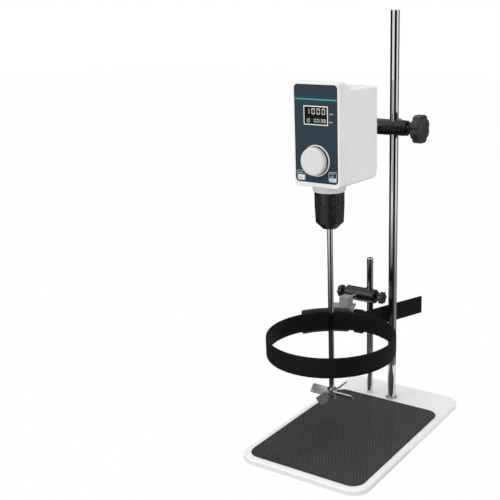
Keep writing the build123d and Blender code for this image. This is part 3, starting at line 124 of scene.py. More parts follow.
def finish(name, colour, roughness, layers, **shader_inputs):
    """A material; a layer is (size mm, stretch, colour share, gloss swing, relief mm)."""
    material = bpy.data.materials.new(name)
    material.use_nodes = True
    tree = material.node_tree
    tree.nodes.clear()
    base = linear(colour)
    shader = add(tree, "ShaderNodeBsdfPrincipled", {"Base Color": base, "Roughness": roughness,
                                                    **shader_inputs})
    add(tree, "ShaderNodeOutputMaterial", {"Surface": shader.outputs["BSDF"]})
    place = add(tree, "ShaderNodeTexCoord").outputs["Object"]
    normal = None
    shade = None
    gloss = None
    for size, stretch, colour_share, gloss_swing, relief in layers:
        spot = add(tree, "ShaderNodeMapping", {"Vector": place, "Scale": stretch}).outputs[0]
        grain = add(tree, "ShaderNodeTexNoise",
                    {"Vector": spot, "Scale": 1 / (size * MM),
                     "Detail": GRAIN_DETAIL}).outputs["Fac"]
        if colour_share < 1:
            tone = add(tree, "ShaderNodeMapRange",
                       {"Value": grain, **GRAIN_RANGE,
                        "To Min": colour_share, "To Max": 1.0}).outputs[0]
            shade = tone if shade is None else add(
                tree, "ShaderNodeMath", {0: shade, 1: tone}, operation="MULTIPLY").outputs[0]
        if gloss_swing:
            swing = add(tree, "ShaderNodeMapRange",
                        {"Value": grain, **GRAIN_RANGE,
                         "To Min": -gloss_swing, "To Max": gloss_swing}).outputs[0]
            gloss = add(tree, "ShaderNodeMath",
                        {0: roughness if gloss is None else gloss, 1: swing},
                        operation="ADD").outputs[0]
        if relief:
            bump = add(tree, "ShaderNodeBump",
                       {"Height": grain, "Strength": 1.0, "Distance": relief * MM})
            if normal is not None:
                tree.links.new(normal, bump.inputs["Normal"])
            normal = bump.outputs["Normal"]
    if shade is not None:
        tint = add(tree, "ShaderNodeVectorMath", {0: base[:3], "Scale": shade}, operation="SCALE")
        tree.links.new(tint.outputs["Vector"], shader.inputs["Base Color"])
    if gloss is not None:
        tree.links.new(gloss, shader.inputs["Roughness"])
    if normal is not None:
        tree.links.new(normal, shader.inputs["Normal"])
    return material


print("grain can be even or stretched", round(1 / ALONG_X[0]), "times along one axis")

# %% [markdown]
# ## The finishes of this stirrer
# Each one starts from what the real part is made of and how its surface was made.

# %% Materials
# Powder-coated steel plate: satin white with a faint orange-peel ripple.
powder_white = finish("powder_coated_steel_white", "#EFEFEF", 0.38,
                      [(2.5, EVEN, 0.985, 0.05, 0.02), (60, EVEN, 0.98, 0.03, 0)], IOR=1.5)
# Moulded ABS front and tray: satin white with a fine spark-eroded texture.
moulded_white = finish("moulded_abs_white", "#F5F5F5", 0.42,
                       [(0.6, EVEN, 0.985, 0.06, 0.012), (45, EVEN, 0.98, 0.03, 0)], IOR=1.53)
# The front frame is the same ABS, greyed a shade: painted shade on the frame's front.
front_white_shaded = finish("moulded_abs_white_front_shaded", "#EEEEEE", 0.42,
                     [(0.6, EVEN, 0.985, 0.06, 0.012), (45, EVEN, 0.98, 0.03, 0)], IOR=1.53)
# Cover behind the front frame, coated in paint. Its white is a shade greyer than the tray below it as
# painted shade, for the tray catches more light from the floor.
cover_white_shaded = finish("cover_white_painted_shade", "#F1F1F1", 0.4,
                     [(1.6, EVEN, 0.985, 0.05, 0.012), (50, EVEN, 0.98, 0.03, 0)], IOR=1.5)
# Turned and polished ABS of the knob and the spindle nose, glossier than the housing. Its light grey
# is partly the knob's own tone and partly painted shade on the nose.
knob_grey_nose_shade = finish("polished_abs_grey_nose_shade", "#DCDCDC", 0.24,
                    [(0.8, EVEN, 0.99, 0.03, 0.004)], IOR=1.53)
# Screen-printed polycarbonate film: slate, slightly velvety.
slate_film = finish("printed_film_slate", "#2C3D48", 0.45,
                    [(0.4, EVEN, 0.95, 0.05, 0.006)], **{"IOR": 1.4, "Specular IOR Level": 0.2})
# Display window: black acrylic with an anti-glare coat.
acrylic_black = finish("acrylic_window_black", "#060606", 0.08,
                       [(20, EVEN, 0.9, 0.02, 0)], **{"IOR": 1.49, "Specular IOR Level": 0.12})
# Glass-filled nylon of knobs and chuck rings: near black, semi-gloss, finely grained.
nylon_black = finish("glass_filled_nylon_black", "#1C1C1C", 0.33,
                     [(0.5, EVEN, 0.85, 0.06, 0.012), (8, EVEN, 0.9, 0.05, 0)], IOR=1.53)
# The star knobs are duller, and a shade lighter as a painted highlight for the broad gleam on their
# faces.
nylon_star_highlight = finish("glass_filled_nylon_star_highlight", "#2E2E2E", 0.42,
                    [(0.5, EVEN, 0.85, 0.06, 0.012), (8, EVEN, 0.88, 0.06, 0)], IOR=1.53)
# Same nylon in dark grey, for the plate that bears on the vessel.
nylon_grey = finish("glass_filled_nylon_grey", "#3C3C3D", 0.45,
                    [(0.5, EVEN, 0.9, 0.06, 0.012), (8, EVEN, 0.93, 0.05, 0)], IOR=1.53)
# Powder-coated die casting of the clamps: black with a fine orange peel.
casting_black = finish("powder_coated_casting_black", "#0E0E0F", 0.28,
                       [(1.2, EVEN, 0.88, 0.05, 0.006), (12, EVEN, 0.9, 0.05, 0)], IOR=1.5)
# Polished stainless bars: hairline marks from polishing run along each bar.
POLISH_MARKS = (0.96, 0.006, 0.0002)   # colour share, gloss swing and relief of the marks
steel_upright = finish("polished_stainless_upright", "#DCDAD7", 0.06,
                       [(0.4, ALONG_Z, *POLISH_MARKS)], Metallic=1.0)
steel_level = finish("polished_stainless_level", "#DCDAD7", 0.06,
                     [(0.4, ALONG_Y, *POLISH_MARKS)], Metallic=1.0)
# Satin stainless of the impeller, the foot ring and the bearing: tumbled.
steel_satin = finish("tumbled_stainless", "#C9C8C5", 0.28,
                     [(0.8, EVEN, 0.9, 0.06, 0.004)], Metallic=1.0)
# Bright zinc plating of the screws and the motor's case: slightly blue, a little uneven.
zinc_plate = finish("bright_zinc_plate", "#B9BCC0", 0.3,
                    [(0.7, EVEN, 0.88, 0.08, 0.006)], Metallic=1.0)
# Black oxide of the chuck's body and jaws.
black_oxide = finish("black_oxide_steel", "#3A3A3C", 0.34,
                     [(0.6, EVEN, 0.85, 0.07, 0.006)], Metallic=1.0)
# Turned brass of the clamp pads and of the chuck's nut ring.
turned_brass = finish("turned_brass", "#B9995A", 0.3, [(0.3, ALONG_Y, 0.9, 0.05, 0.004)],
                      Metallic=1.0)
# Bent aluminium sheet, with the rolling direction showing.
rolled_aluminium = finish("rolled_aluminium", "#C3C5C7", 0.36,
                          [(0.3, ALONG_X, 0.92, 0.06, 0.004)], Metallic=1.0)
# Circuit board with green solder resist.
solder_resist = finish("solder_resist_green", "#14502B", 0.3,
                       [(1.5, EVEN, 0.8, 0.05, 0.01)], IOR=1.55)
# Vulcanised rubber of the feet: black and dull.
rubber_black = finish("vulcanised_rubber", "#262627", 0.7,
                      [(0.5, EVEN, 0.8, 0.06, 0.03), (30, EVEN, 0.9, 0.04, 0)], IOR=1.52)
# Silicone rubber of the mat, and its studs, coloured a shade lighter all over as a painted highlight
# of their lit tops.
mat_rubber = finish("silicone_mat", "#303031", 0.5,
                    [(0.5, EVEN, 0.85, 0.06, 0.02), (60, EVEN, 0.8, 0.06, 0)], IOR=1.45)
stud_rubber_highlight = finish("silicone_mat_studs_highlight", "#484849", 0.42,
                     [(0.5, EVEN, 0.85, 0.06, 0.02), (60, EVEN, 0.8, 0.06, 0)], IOR=1.45)
# Grey painted sheet of the vessel bracket.
painted_grey = finish("painted_sheet_grey", "#8E9092", 0.45,
                      [(1.0, EVEN, 0.92, 0.05, 0.015)], IOR=1.5)
# Screen-printing inks of the panel: teal, light grey and near black. The near black also draws the
# painted shade along the panel's recessed edge.
ink_teal = finish("ink_teal", "#2AA59E", 0.4, [(0.4, EVEN, 0.96, 0.03, 0.002)], IOR=1.5)
ink_white = finish("ink_white", "#E6E9EA", 0.45, [(0.4, EVEN, 0.97, 0.03, 0.002)], IOR=1.5)
dark_ink_and_shade = finish("dark_ink_and_shade", "#10171C", 0.45, [(0.4, EVEN, 0.95, 0.03, 0.002)], IOR=1.45)
# Lit segments of the liquid-crystal display: a warm light grey.
lit = finish("lit_segments", "#E2E3DA", 0.5, [(0.4, EVEN, 0.97, 0.02, 0)], IOR=1.45)
print("materials", len(bpy.data.materials))

# %% [markdown]
# ## Finishes onto the CAD pieces
# A CAD piece whose shape is right keeps its mesh and only changes its material.

# %% Assign finishes
FINISHES = {
    powder_white: ["base_plate"],
    moulded_white: ["housing_base_tray", "display_frame", "knob_ring"],
    front_white_shaded: ["housing_front_bezel"],
    cover_white_shaded: ["housing_cover"],
    knob_grey_nose_shade: ["speed_knob", "spindle_nose"],
    slate_film: ["control_panel"],
    acrylic_black: ["display_window"],
    nylon_black: ["post_clamp_thumb_screw", "holder_clamp_thumb_screw", "chuck_rear_ring",
                  "chuck_sleeve", "strap_buckle", "power_inlet", "vessel_strap"],
    nylon_star_highlight: ["rod_clamp_knob", "arm_clamp_knob"],
    nylon_grey: ["vessel_jaw_plate"],
    casting_black: ["upper_clamp_body", "upper_clamp_end_rings", "lower_clamp_body"],
    steel_upright: ["stand_rod_lower", "stand_rod_upper", "clamp_post", "stirring_shaft",
                    "spindle"],
    steel_level: ["support_arm", "holder_arm"],
    steel_satin: ["impeller", "rod_foot_ring", "spindle_bearing"],
    zinc_plate: ["rod_joint_stud", "stand_rod_bolt", "clamp_post_bolt", "tray_screws",
                 "arm_flange_screws", "encoder_plunger", "encoder_shaft", "motor_body",
                 "motor_rotor", "rod_clamp_screw", "arm_clamp_screw"],
    black_oxide: ["chuck_body", "chuck_jaw_1", "chuck_jaw_2", "chuck_jaw_3"],
    turned_brass: ["rod_clamp_pad", "arm_clamp_pad", "post_clamp_pad", "holder_clamp_pad",
                   "chuck_nut_ring"],
    rolled_aluminium: ["head_chassis", "encoder_body", "arm_flange"],
    solder_resist: ["control_board"],
    rubber_black: ["base_feet"],
    mat_rubber: ["anti_slip_mat"],
    painted_grey: ["holder_bracket"],
}
dressed = set()
for material, names in FINISHES.items():
    for name in names:
        slots = nodes[name].data.materials
        slots.clear()
        slots.append(material)
        dressed.add(name)
print("undressed:", sorted(set(nodes) - dressed))

# %% [markdown]
# ## Flat printed shapes
# Printing is a layer of ink a few hundredths of a millimetre thick. It could be a
# texture, but a thin mesh stays sharp at any zoom and exports as it is. Each shape
# is drawn flat, in millimetres from the middle of the head and from its underside,
# and is then stood up just in front of the panel's face.

# %% Ink on the panel
head_low, head_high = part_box("housing_front_bezel")
panel_low, panel_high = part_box("control_panel")
HEAD_MIDDLE = (head_low.x + head_high.x) / 2
HEAD_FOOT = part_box("housing_base_tray")[0].z
PANEL_FACE = panel_low.y
WINDOW_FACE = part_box("display_window")[0].y
INK_THICKNESS = 0.03


def piece_from(name, mesh, material, body):
    """Links a finished mesh as a piece that rides on a body."""
    mesh.materials.clear()
    mesh.materials.append(material)
    made = bpy.data.objects.new(name, mesh)
    scene.collection.objects.link(made)
    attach(made, body)
    return made


def stand_up(work, face_y):
    """Gives a flat drawing its thickness and stands it on the head's front."""
    flat = list(work.faces)
    raised = bmesh.ops.extrude_face_region(work, geom=flat)
    for corner in raised["geom"]:
        if isinstance(corner, bmesh.types.BMVert):
            corner.co.z += INK_THICKNESS
    bmesh.ops.recalc_face_normals(work, faces=work.faces)
    for corner in work.verts:
        x, z, lift = corner.co
        corner.co = (HEAD_MIDDLE + x * MM, face_y - lift * MM, HEAD_FOOT + z * MM)


def flat_print_or_shade(name, outlines, material, face_y):
    """Inked shape, or flat band of painted shade, on the head from outlines, each a list of (x, z) in
    millimetres.
    """
    work = bmesh.new()
    for outline in outlines:
        corners = [work.verts.new((x, z, 0)) for x, z in outline]
        work.faces.new(corners)
    stand_up(work, face_y)
    mesh = bpy.data.meshes.new(name)
    work.to_mesh(mesh)
    work.free()
    return piece_from(name, mesh, material, "head")


def plain_outline(left, foot, width, height):
    """Corner points of a rectangle, counter-clockwise."""
    right, top = left + width, foot + height
    return [(left, foot), (right, foot), (right, top), (left, top)]


STRIPE_FOOT = 113.6
STRIPE_HEIGHT = 1.7
half_panel = (panel_high.x - panel_low.x) / (2 * MM)
stripe = flat_print_or_shade("panel_stripe",
                 [plain_outline(-half_panel, STRIPE_FOOT, 2 * half_panel, STRIPE_HEIGHT)],
                 ink_teal, PANEL_FACE)
print("stripe", [round(v, 4) for v in stripe.dimensions])

# %% [markdown]
# ## Digits of the display
# A liquid-crystal digit is seven bars with mitred ends, and which of them are lit
# makes the number. One table says which bars each number lights, and one function
# gives the outline of a bar, so every digit has the same proportions.

# %% Display digits
BARS = {"0": "abcdef", "1": "bc", "3": "abcdg", "8": "abcdefg"}
BAR_SHARE = 0.2        # of a bar's width to the digit's width
BAR_GAP = 0.12         # mm cut from each end of a bar


def bar_outline(ax, az, bx, bz, width):
    """Six-sided bar from a to b with pointed ends."""
    half = width / 2
    length = math.hypot(bx - ax, bz - az)
    ux, uz = (bx - ax) / length, (bz - az) / length
    ax, az, bx, bz = ax + ux * BAR_GAP, az + uz * BAR_GAP, bx - ux * BAR_GAP, bz - uz * BAR_GAP
    nx, nz = -uz * half, ux * half
    return [(ax, az), (ax + ux * half - nx, az + uz * half - nz),
            (bx - ux * half - nx, bz - uz * half - nz), (bx, bz),
            (bx - ux * half + nx, bz - uz * half + nz),
            (ax + ux * half + nx, az + uz * half + nz)]


def digit(number, left, foot, width, height):
    """Outlines of one seven-bar digit."""
    bar = width * BAR_SHARE
    x0, x1 = left + bar / 2, left + width - bar / 2
    z0, z1, z2 = foot + bar / 2, foot + height / 2, foot + height - bar / 2
    ends = {"a": (x0, z2, x1, z2), "b": (x1, z1, x1, z2), "c": (x1, z0, x1, z1),
            "d": (x0, z0, x1, z0), "e": (x0, z0, x0, z1), "f": (x0, z1, x0, z2),
            "g": (x0, z1, x1, z1)}
    return [bar_outline(*ends[key], bar) for key in BARS[number]]


SPEED_LEFTS = (-14.7, -6.4, 1.5, 9.4)   # left edge of each digit of the speed
SPEED_SIZE = (95.5, 4.9, 7.8)           # foot, width and height of its digits
TIMER_LEFTS = (-2.9, 1.8, 7.0, 11.5)
TIMER_SIZE = (85.2, 3.4, 4.8)
COLON_LEFT = 5.75
COLON_SIDE = 0.6
COLON_RISES = (1.2, 3.2)                # of the colon's dots above the timer's foot
shapes = []
for text, lefts, size in (("1000", SPEED_LEFTS, SPEED_SIZE), ("0038", TIMER_LEFTS, TIMER_SIZE)):
    for number, left in zip(text, lefts):
        shapes += digit(number, left, *size)
for rise in COLON_RISES:
    shapes.append(plain_outline(COLON_LEFT, TIMER_SIZE[0] + rise, COLON_SIDE, COLON_SIDE))
digits = flat_print_or_shade("display_digits", shapes, lit, WINDOW_FACE)
print("bars and dots", len(shapes), "faces", len(digits.data.polygons))

# %% [markdown]
# ## Clock sign
# The clock sign beside the timer is a ring with two hands. A ring is a strip of
# four-sided faces between two circles.

# %% Clock sign
def ring_outlines(x, z, outer, inner, steps):
    """Outlines of a flat ring, cut into short four-sided pieces."""
    made = []
    for step in range(steps):
        a, b = (2 * math.pi * (step + k) / steps for k in (0, 1))
        made.append([(x + outer * math.cos(a), z + outer * math.sin(a)),
                     (x + outer * math.cos(b), z + outer * math.sin(b)),
                     (x + inner * math.cos(b), z + inner * math.sin(b)),
                     (x + inner * math.cos(a), z + inner * math.sin(a))])
    return made


CLOCK_X, CLOCK_Z = -11.4, 87.4
CLOCK_RADII = (2.6, 2.05)     # outer and inner
CLOCK_STEPS = 28
HAND_WIDTH = 0.5
HAND_TAIL = 0.3               # of a hand past the clock's middle
LONG_HAND = 1.6
SHORT_HAND = 1.4
hands = [bar_outline(CLOCK_X, CLOCK_Z - HAND_TAIL, CLOCK_X, CLOCK_Z + LONG_HAND, HAND_WIDTH),
         bar_outline(CLOCK_X - HAND_TAIL, CLOCK_Z, CLOCK_X + SHORT_HAND, CLOCK_Z, HAND_WIDTH)]
dial = ring_outlines(CLOCK_X, CLOCK_Z, *CLOCK_RADII, CLOCK_STEPS)
clock = flat_print_or_shade("display_clock", dial + hands, lit, WINDOW_FACE)
print("clock faces", len(clock.data.polygons))

# %% [markdown]
# ## Words
# The units beside the display and the words of the two labels at the panel's foot
# come from Blender's text object. It is turned into a mesh before it is placed,
# because a finished piece keeps its place in its mesh.

# %% Words
CAPITAL_SHARE = 0.7     # of the height of a capital letter to the font's size
LETTER_STEPS = 3        # of each curve of a letter
UNIT_HEIGHT = 2.4
SPEED_UNIT = (21.0, 96.0)
TIME_UNIT = (20.6, 85.6)


def words(name, text, x, z, height, material, face_y):
    """Text with its lower left corner at (x, z), capital letters height mm tall."""
    curve = bpy.data.curves.new(name, "FONT")
    curve.body = text
    curve.size = height / CAPITAL_SHARE
    curve.resolution_u = LETTER_STEPS
    written = bpy.data.objects.new(name, curve)
    scene.collection.objects.link(written)
    bpy.context.view_layer.update()
    mesh = bpy.data.meshes.new_from_object(written.evaluated_get(
        bpy.context.evaluated_depsgraph_get()))
    bpy.data.objects.remove(written)
    work = bmesh.new()
    work.from_mesh(mesh)
    for corner in work.verts:
        corner.co = (corner.co.x + x, corner.co.y + z, 0)
    stand_up(work, face_y)
    work.to_mesh(mesh)
    work.free()
    return piece_from(name, mesh, material, "head")


speed_unit = words("unit_speed", "rpm", *SPEED_UNIT, UNIT_HEIGHT, ink_white, PANEL_FACE)
time_unit = words("unit_time", "min", *TIME_UNIT, UNIT_HEIGHT, ink_white, PANEL_FACE)
print("units", speed_unit.name, time_unit.name)

# %% [markdown]
# ## Push labels
# Each label has a thin light frame, light words in its upper part and a light
# field with a dark word below. A frame is the strip between two rounded outlines,
# cut into four-sided pieces.

# %% Push labels
LABEL_WIDTH = 12.0
LABEL_HEIGHT = 13.4
LABEL_CORNER = 1.6
LABEL_LINE = 0.45
TOP_WORD = 2.1            # tallest letters above the field
TOP_WORD_SHARE = 0.62     # of their height to their line's
TOP_WORD_DROP = 0.82      # of their foot below their line's top, a share of the line
TOP_WORD_LEFT = 1.5
LOW_WORD = 2.2            # height of the letters on the field
LOW_WORD_RISE = 0.3       # of their foot above the field's, a share of the field
LOW_WORD_LEFT = 2.2


def rounded_outline(left, foot, width, height, radius, steps=5):
    """Corner points of a rounded rectangle, counter-clockwise."""
    made = []
    for cx, cz, start in ((left + width - radius, foot + radius, -90),
                          (left + width - radius, foot + height - radius, 0),
                          (left + radius, foot + height - radius, 90),
                          (left + radius, foot + radius, 180)):
        for step in range(steps + 1):
            turn = math.radians(start + 90 * step / steps)
            made.append((cx + radius * math.cos(turn), cz + radius * math.sin(turn)))
    return made


def rounded_frame(left, foot, width, height, radius, line):
    """Outlines of a frame that lies just inside a rounded rectangle, line mm wide."""
    outer = rounded_outline(left, foot, width, height, radius)
    inner = rounded_outline(left + line, foot + line, width - 2 * line, height - 2 * line,
                            radius - line)
    count = len(outer)
    return [[outer[i], outer[(i + 1) % count], inner[(i + 1) % count], inner[i]]
            for i in range(count)]


def push_label(name, left, foot, top_lines, low_line, low_share):
    """Label whose light field takes low_share of its height; left and foot place it."""
    field_foot = foot + 2 * LABEL_LINE
    field_height = LABEL_HEIGHT * low_share
    rim = rounded_frame(left, foot, LABEL_WIDTH, LABEL_HEIGHT, LABEL_CORNER, LABEL_LINE)
    field = rounded_outline(left + 2 * LABEL_LINE, field_foot, LABEL_WIDTH - 4 * LABEL_LINE,
                            field_height, LABEL_CORNER / 2)
    flat_print_or_shade(name + "_frame", rim, ink_white, PANEL_FACE)
    flat_print_or_shade(name + "_field", [field], ink_white, PANEL_FACE)
    line_height = (LABEL_HEIGHT - field_height - 4 * LABEL_LINE) / len(top_lines)
    top_size = min(TOP_WORD, line_height * TOP_WORD_SHARE)
    for number, text in enumerate(top_lines):
        line_foot = foot + LABEL_HEIGHT - LABEL_LINE - (number + TOP_WORD_DROP) * line_height
        words(f"{name}_word_{number}", text, left + TOP_WORD_LEFT, line_foot, top_size,
              ink_white, PANEL_FACE)
    words(name + "_word_low", low_line, left + LOW_WORD_LEFT,
          field_foot + field_height * LOW_WORD_RISE, LOW_WORD, dark_ink_and_shade,
          PANEL_FACE - INK_THICKNESS * MM)


push_label("label_stop", left=-30.2, foot=8.1, top_lines=["PUSH"], low_line="Stop",
           low_share=0.5)
push_label("label_start", left=18.7, foot=9.2, top_lines=["PUSH", "2 Sec"], low_line="Start",
           low_share=0.32)

# %% [markdown]
# ## Painted shade at the edges
# A dark band just inside the panel's edge is painted shade of the recess it sits in,
# and a dark band round the knob's foot is painted shade of the groove between knob and
# ring, so that the knob seems to float in its ring. The knob's band is a short open
# tube a little wider than the knob.

# %% Panel recess shade and knob groove shade
BORDER = 1.1
PANEL_CORNER = 5.0
panel_foot = (panel_low.z - HEAD_FOOT) / MM
panel_height = (panel_high.z - panel_low.z) / MM
# Painted shade: a dark band just inside the panel's edge, where its recess is in shade.
edge = rounded_frame(-half_panel, panel_foot, 2 * half_panel, panel_height, PANEL_CORNER, BORDER)
flat_print_or_shade("panel_recess_shade", edge, dark_ink_and_shade, PANEL_FACE)

FOOT_LENGTH = 2.8 * MM
FOOT_PROUD = 0.06 * MM
FOOT_SIDES = 96
knob_low, knob_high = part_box("speed_knob")
knob_x = (knob_low.x + knob_high.x) / 2
knob_z = (knob_low.z + knob_high.z) / 2
foot_radius = (knob_high.x - knob_low.x) / 2 + FOOT_PROUD
work = bmesh.new()
bmesh.ops.create_cone(work, cap_ends=False, segments=FOOT_SIDES, radius1=foot_radius,
                      radius2=foot_radius, depth=FOOT_LENGTH)
bmesh.ops.solidify(work, geom=list(work.faces), thickness=FOOT_PROUD / 2)
bmesh.ops.rotate(work, verts=work.verts, matrix=Matrix.Rotation(math.pi / 2, 3, "X"))
bmesh.ops.translate(work, verts=work.verts,
                    vec=(knob_x, knob_high.y - FOOT_LENGTH / 2, knob_z))
foot_mesh = bpy.data.meshes.new("knob_groove_shade")
work.to_mesh(foot_mesh)
work.free()
# The tube is painted shade: black nylon where the groove round the knob is in shade.
knob_groove_shade = piece_from("knob_groove_shade", foot_mesh, nylon_black, "speed_knob")
print("knob foot mm", [round(v / MM, 2) for v in knob_groove_shade.dimensions])

# %% [markdown]
# ## Studded mat
# The rubber mat has a close pattern of small round studs. Geometry Nodes suit
# this: two grids of points, the second moved half a step both ways, make a
# staggered pattern. Points outside the mat's rounded outline are dropped, and one
# small stud is placed on every point that is left.

# %% Studs of the mat
mat_low, mat_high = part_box("anti_slip_mat")
STUD_PITCH = 5.0
ROW_PITCH = STUD_PITCH * math.sqrt(3)   # rows of one grid; the other's lie half-way between
STUD_RADIUS = 1.6
STUD_CROWN = 0.55      # share of a stud's radius that is its flat top
STUD_HEIGHT = 0.5
STUD_SIDES = 10
MAT_CORNER = 18.0
MAT_RIM = 2.6          # bare edge of the mat outside the studs' middles
SOCKETS = {"Columns": "Int", "Rows": "Int", "Width": "Float", "Depth": "Float",
           "Half step": "Vector", "Straight": "Vector", "Corner": "Float",
           "Radius": "Float", "Crown": "Float", "Height": "Float", "Place": "Vector",
           "Material": "Material"}


def stud_pattern():
    """Geometry Nodes: studs on a staggered grid, kept inside a rounded rectangle."""
    group = bpy.data.node_groups.new("stud_pattern", "GeometryNodeTree")
    for label, kind in SOCKETS.items():
        group.interface.new_socket(label, in_out="INPUT", socket_type="NodeSocket" + kind)
    group.interface.new_socket("Geometry", in_out="OUTPUT", socket_type="NodeSocketGeometry")
    given = add(group, "NodeGroupInput").outputs
    grid = add(group, "GeometryNodeMeshGrid", {"Size X": given["Width"], "Size Y": given["Depth"],
                                               "Vertices X": given["Columns"],
                                               "Vertices Y": given["Rows"]}).outputs["Mesh"]
    moved = add(group, "GeometryNodeTransform",
                {"Geometry": grid, "Translation": given["Half step"]}).outputs[0]
    points = add(group, "GeometryNodeJoinGeometry", {0: grid})
    group.links.new(moved, points.inputs[0])
    # Distance past the straight part of the outline, on both axes at once.
    here = add(group, "GeometryNodeInputPosition").outputs[0]
    side = add(group, "ShaderNodeVectorMath", {0: here}, operation="ABSOLUTE").outputs[0]
    past = add(group, "ShaderNodeVectorMath", {0: side, 1: given["Straight"]},
               operation="SUBTRACT").outputs[0]
    past = add(group, "ShaderNodeVectorMath", {0: past, 1: (0, 0, 0)},
               operation="MAXIMUM").outputs[0]
    reach = add(group, "ShaderNodeVectorMath", {0: past}, operation="LENGTH").outputs["Value"]
    outside = add(group, "FunctionNodeCompare", {0: reach, 1: given["Corner"]},
                  data_type="FLOAT", operation="GREATER_THAN").outputs[0]
    kept = add(group, "GeometryNodeDeleteGeometry",
               {"Geometry": points.outputs[0], "Selection": outside}).outputs[0]
    stud = add(group, "GeometryNodeMeshCone",
               {"Vertices": STUD_SIDES, "Radius Top": given["Crown"], "Radius Bottom": given["Radius"],
                "Depth": given["Height"]}).outputs["Mesh"]
    placed = add(group, "GeometryNodeInstanceOnPoints", {"Points": kept, "Instance": stud})
    real = add(group, "GeometryNodeRealizeInstances", {0: placed.outputs[0]}).outputs[0]
    put = add(group, "GeometryNodeTransform",
              {"Geometry": real, "Translation": given["Place"]}).outputs[0]
    coated = add(group, "GeometryNodeSetMaterial", {"Geometry": put, "Material": given["Material"]})
    add(group, "NodeGroupOutput", {0: coated.outputs[0]})
    return group


def grown(name, group, values, body):
    """Runs a Geometry Nodes tree once and keeps its result as a plain piece."""
    seed = bpy.data.objects.new(name, bpy.data.meshes.new(name))
    scene.collection.objects.link(seed)
    modifier = seed.modifiers.new(name, "NODES")
    modifier.node_group = group
    for item in group.interface.items_tree:
        if item.item_type == "SOCKET" and item.in_out == "INPUT":
            modifier[item.identifier] = values[item.name]
    seed.update_tag()
    bpy.context.view_layer.update()
    mesh = bpy.data.meshes.new_from_object(
        seed.evaluated_get(bpy.context.evaluated_depsgraph_get()))
    seed.modifiers.clear()
    seed.data = mesh
    mesh.name = name
    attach(seed, body)
    return seed


mat_width = (mat_high.x - mat_low.x) / MM - 2 * MAT_RIM
mat_depth = (mat_high.y - mat_low.y) / MM - 2 * MAT_RIM
columns = math.ceil(mat_width / STUD_PITCH) + 1
rows = math.ceil(mat_depth / ROW_PITCH) + 1
inner_corner = MAT_CORNER - MAT_RIM
# The studs take the lighter rubber, a painted highlight of their lit tops.
mat_studs = grown("mat_studs", stud_pattern(), {
    "Columns": columns, "Rows": rows,
    "Width": (columns - 1) * STUD_PITCH * MM, "Depth": (rows - 1) * ROW_PITCH * MM,
    "Half step": (STUD_PITCH / 2 * MM, ROW_PITCH / 2 * MM, 0),
    "Straight": ((mat_width / 2 - inner_corner) * MM, (mat_depth / 2 - inner_corner) * MM, 0),
    "Corner": inner_corner * MM, "Radius": STUD_RADIUS * MM,
    "Crown": STUD_RADIUS * STUD_CROWN * MM, "Height": STUD_HEIGHT * MM,
    "Place": ((mat_low.x + mat_high.x) / 2, (mat_low.y + mat_high.y) / 2, mat_high.z),
    "Material": stud_rubber_highlight}, "stand")
print("faces of the studs:", len(mat_studs.data.polygons))

# %% [markdown]
# ## Woven strap
# The strap is nylon webbing: tightly woven, a little thicker along its middle than
# at its selvedges, with soft ribs along it. Cloth that is drawn tight keeps one
# shape, so no simulation is needed: a slightly crowned cross-section is swept round
# the vessel and along the free end. The sweep also writes a UV map in metres, so
# the weave follows the strap round the curve.

# %% Webbing material
WAVE_UNIT = 20          # radians of Blender's wave texture in one unit of its vector
RADIAN_LENGTH = 1.1     # mm of strap to one radian of the wave
RIB_PITCH = 2 * math.pi * RADIAN_LENGTH   # far wider than real ribs, which are under a millimetre
WEAVE_SCALE = 1 / (RADIAN_LENGTH * MM) / WAVE_UNIT
RIB_RELIEF = 0.12       # mm
FUZZ_SIZE = 2.5         # mm, of the uneven tone of the nylon's fibres
FUZZ_DETAIL = 4.0
STRAP_WIDTH = 28.5


def webbing(name, colour):
    """Woven nylon: ribs along the strap crossed by the weft, on the strap's own UV map."""
    material = bpy.data.materials.new(name)
    material.use_nodes = True
    tree = material.node_tree
    tree.nodes.clear()
    along = add(tree, "ShaderNodeUVMap", uv_map="weave").outputs[0]
    wave = {"Vector": along, "Scale": WEAVE_SCALE, "Distortion": 0.0}
    rib = add(tree, "ShaderNodeTexWave", wave, wave_type="BANDS", bands_direction="Y",
              wave_profile="SIN").outputs["Fac"]
    weft = add(tree, "ShaderNodeTexWave", wave, wave_type="BANDS", bands_direction="X",
               wave_profile="SIN").outputs["Fac"]
    cross = add(tree, "ShaderNodeMath", {0: rib, 1: weft}, operation="MULTIPLY").outputs[0]
    fuzz = add(tree, "ShaderNodeTexNoise", {"Vector": along, "Scale": 1 / (FUZZ_SIZE * MM),
                                            "Detail": FUZZ_DETAIL}).outputs["Fac"]
    tone = add(tree, "ShaderNodeMath", {0: cross, 1: fuzz}, operation="ADD").outputs[0]
    share = add(tree, "ShaderNodeMapRange", {"Value": tone, "From Min": 0.3, "From Max": 1.4,
                                             "To Min": 0.75, "To Max": 1.1}).outputs[0]
    tint = add(tree, "ShaderNodeVectorMath", {0: linear(colour)[:3], "Scale": share},
               operation="SCALE").outputs[0]
    gloss = add(tree, "ShaderNodeMapRange",
                {"Value": fuzz, "To Min": 0.6, "To Max": 0.85}).outputs[0]
    threads = add(tree, "ShaderNodeBump", {"Height": cross, "Strength": 0.7,
                                           "Distance": RIB_RELIEF * MM})
    shader = add(tree, "ShaderNodeBsdfPrincipled",
                 {"Base Color": tint, "Roughness": gloss, "Normal": threads.outputs[0],
                  "IOR": 1.5, "Specular IOR Level": 0.25, "Sheen Weight": 0.02,
                  "Sheen Roughness": 0.5})
    add(tree, "ShaderNodeOutputMaterial", {"Surface": shader.outputs[0]})
    return material


# Black nylon webbing, tightly woven.
strap_webbing = webbing("woven_nylon_webbing", "#0D0D0D")
print("ribs across the strap", round(STRAP_WIDTH / RIB_PITCH))

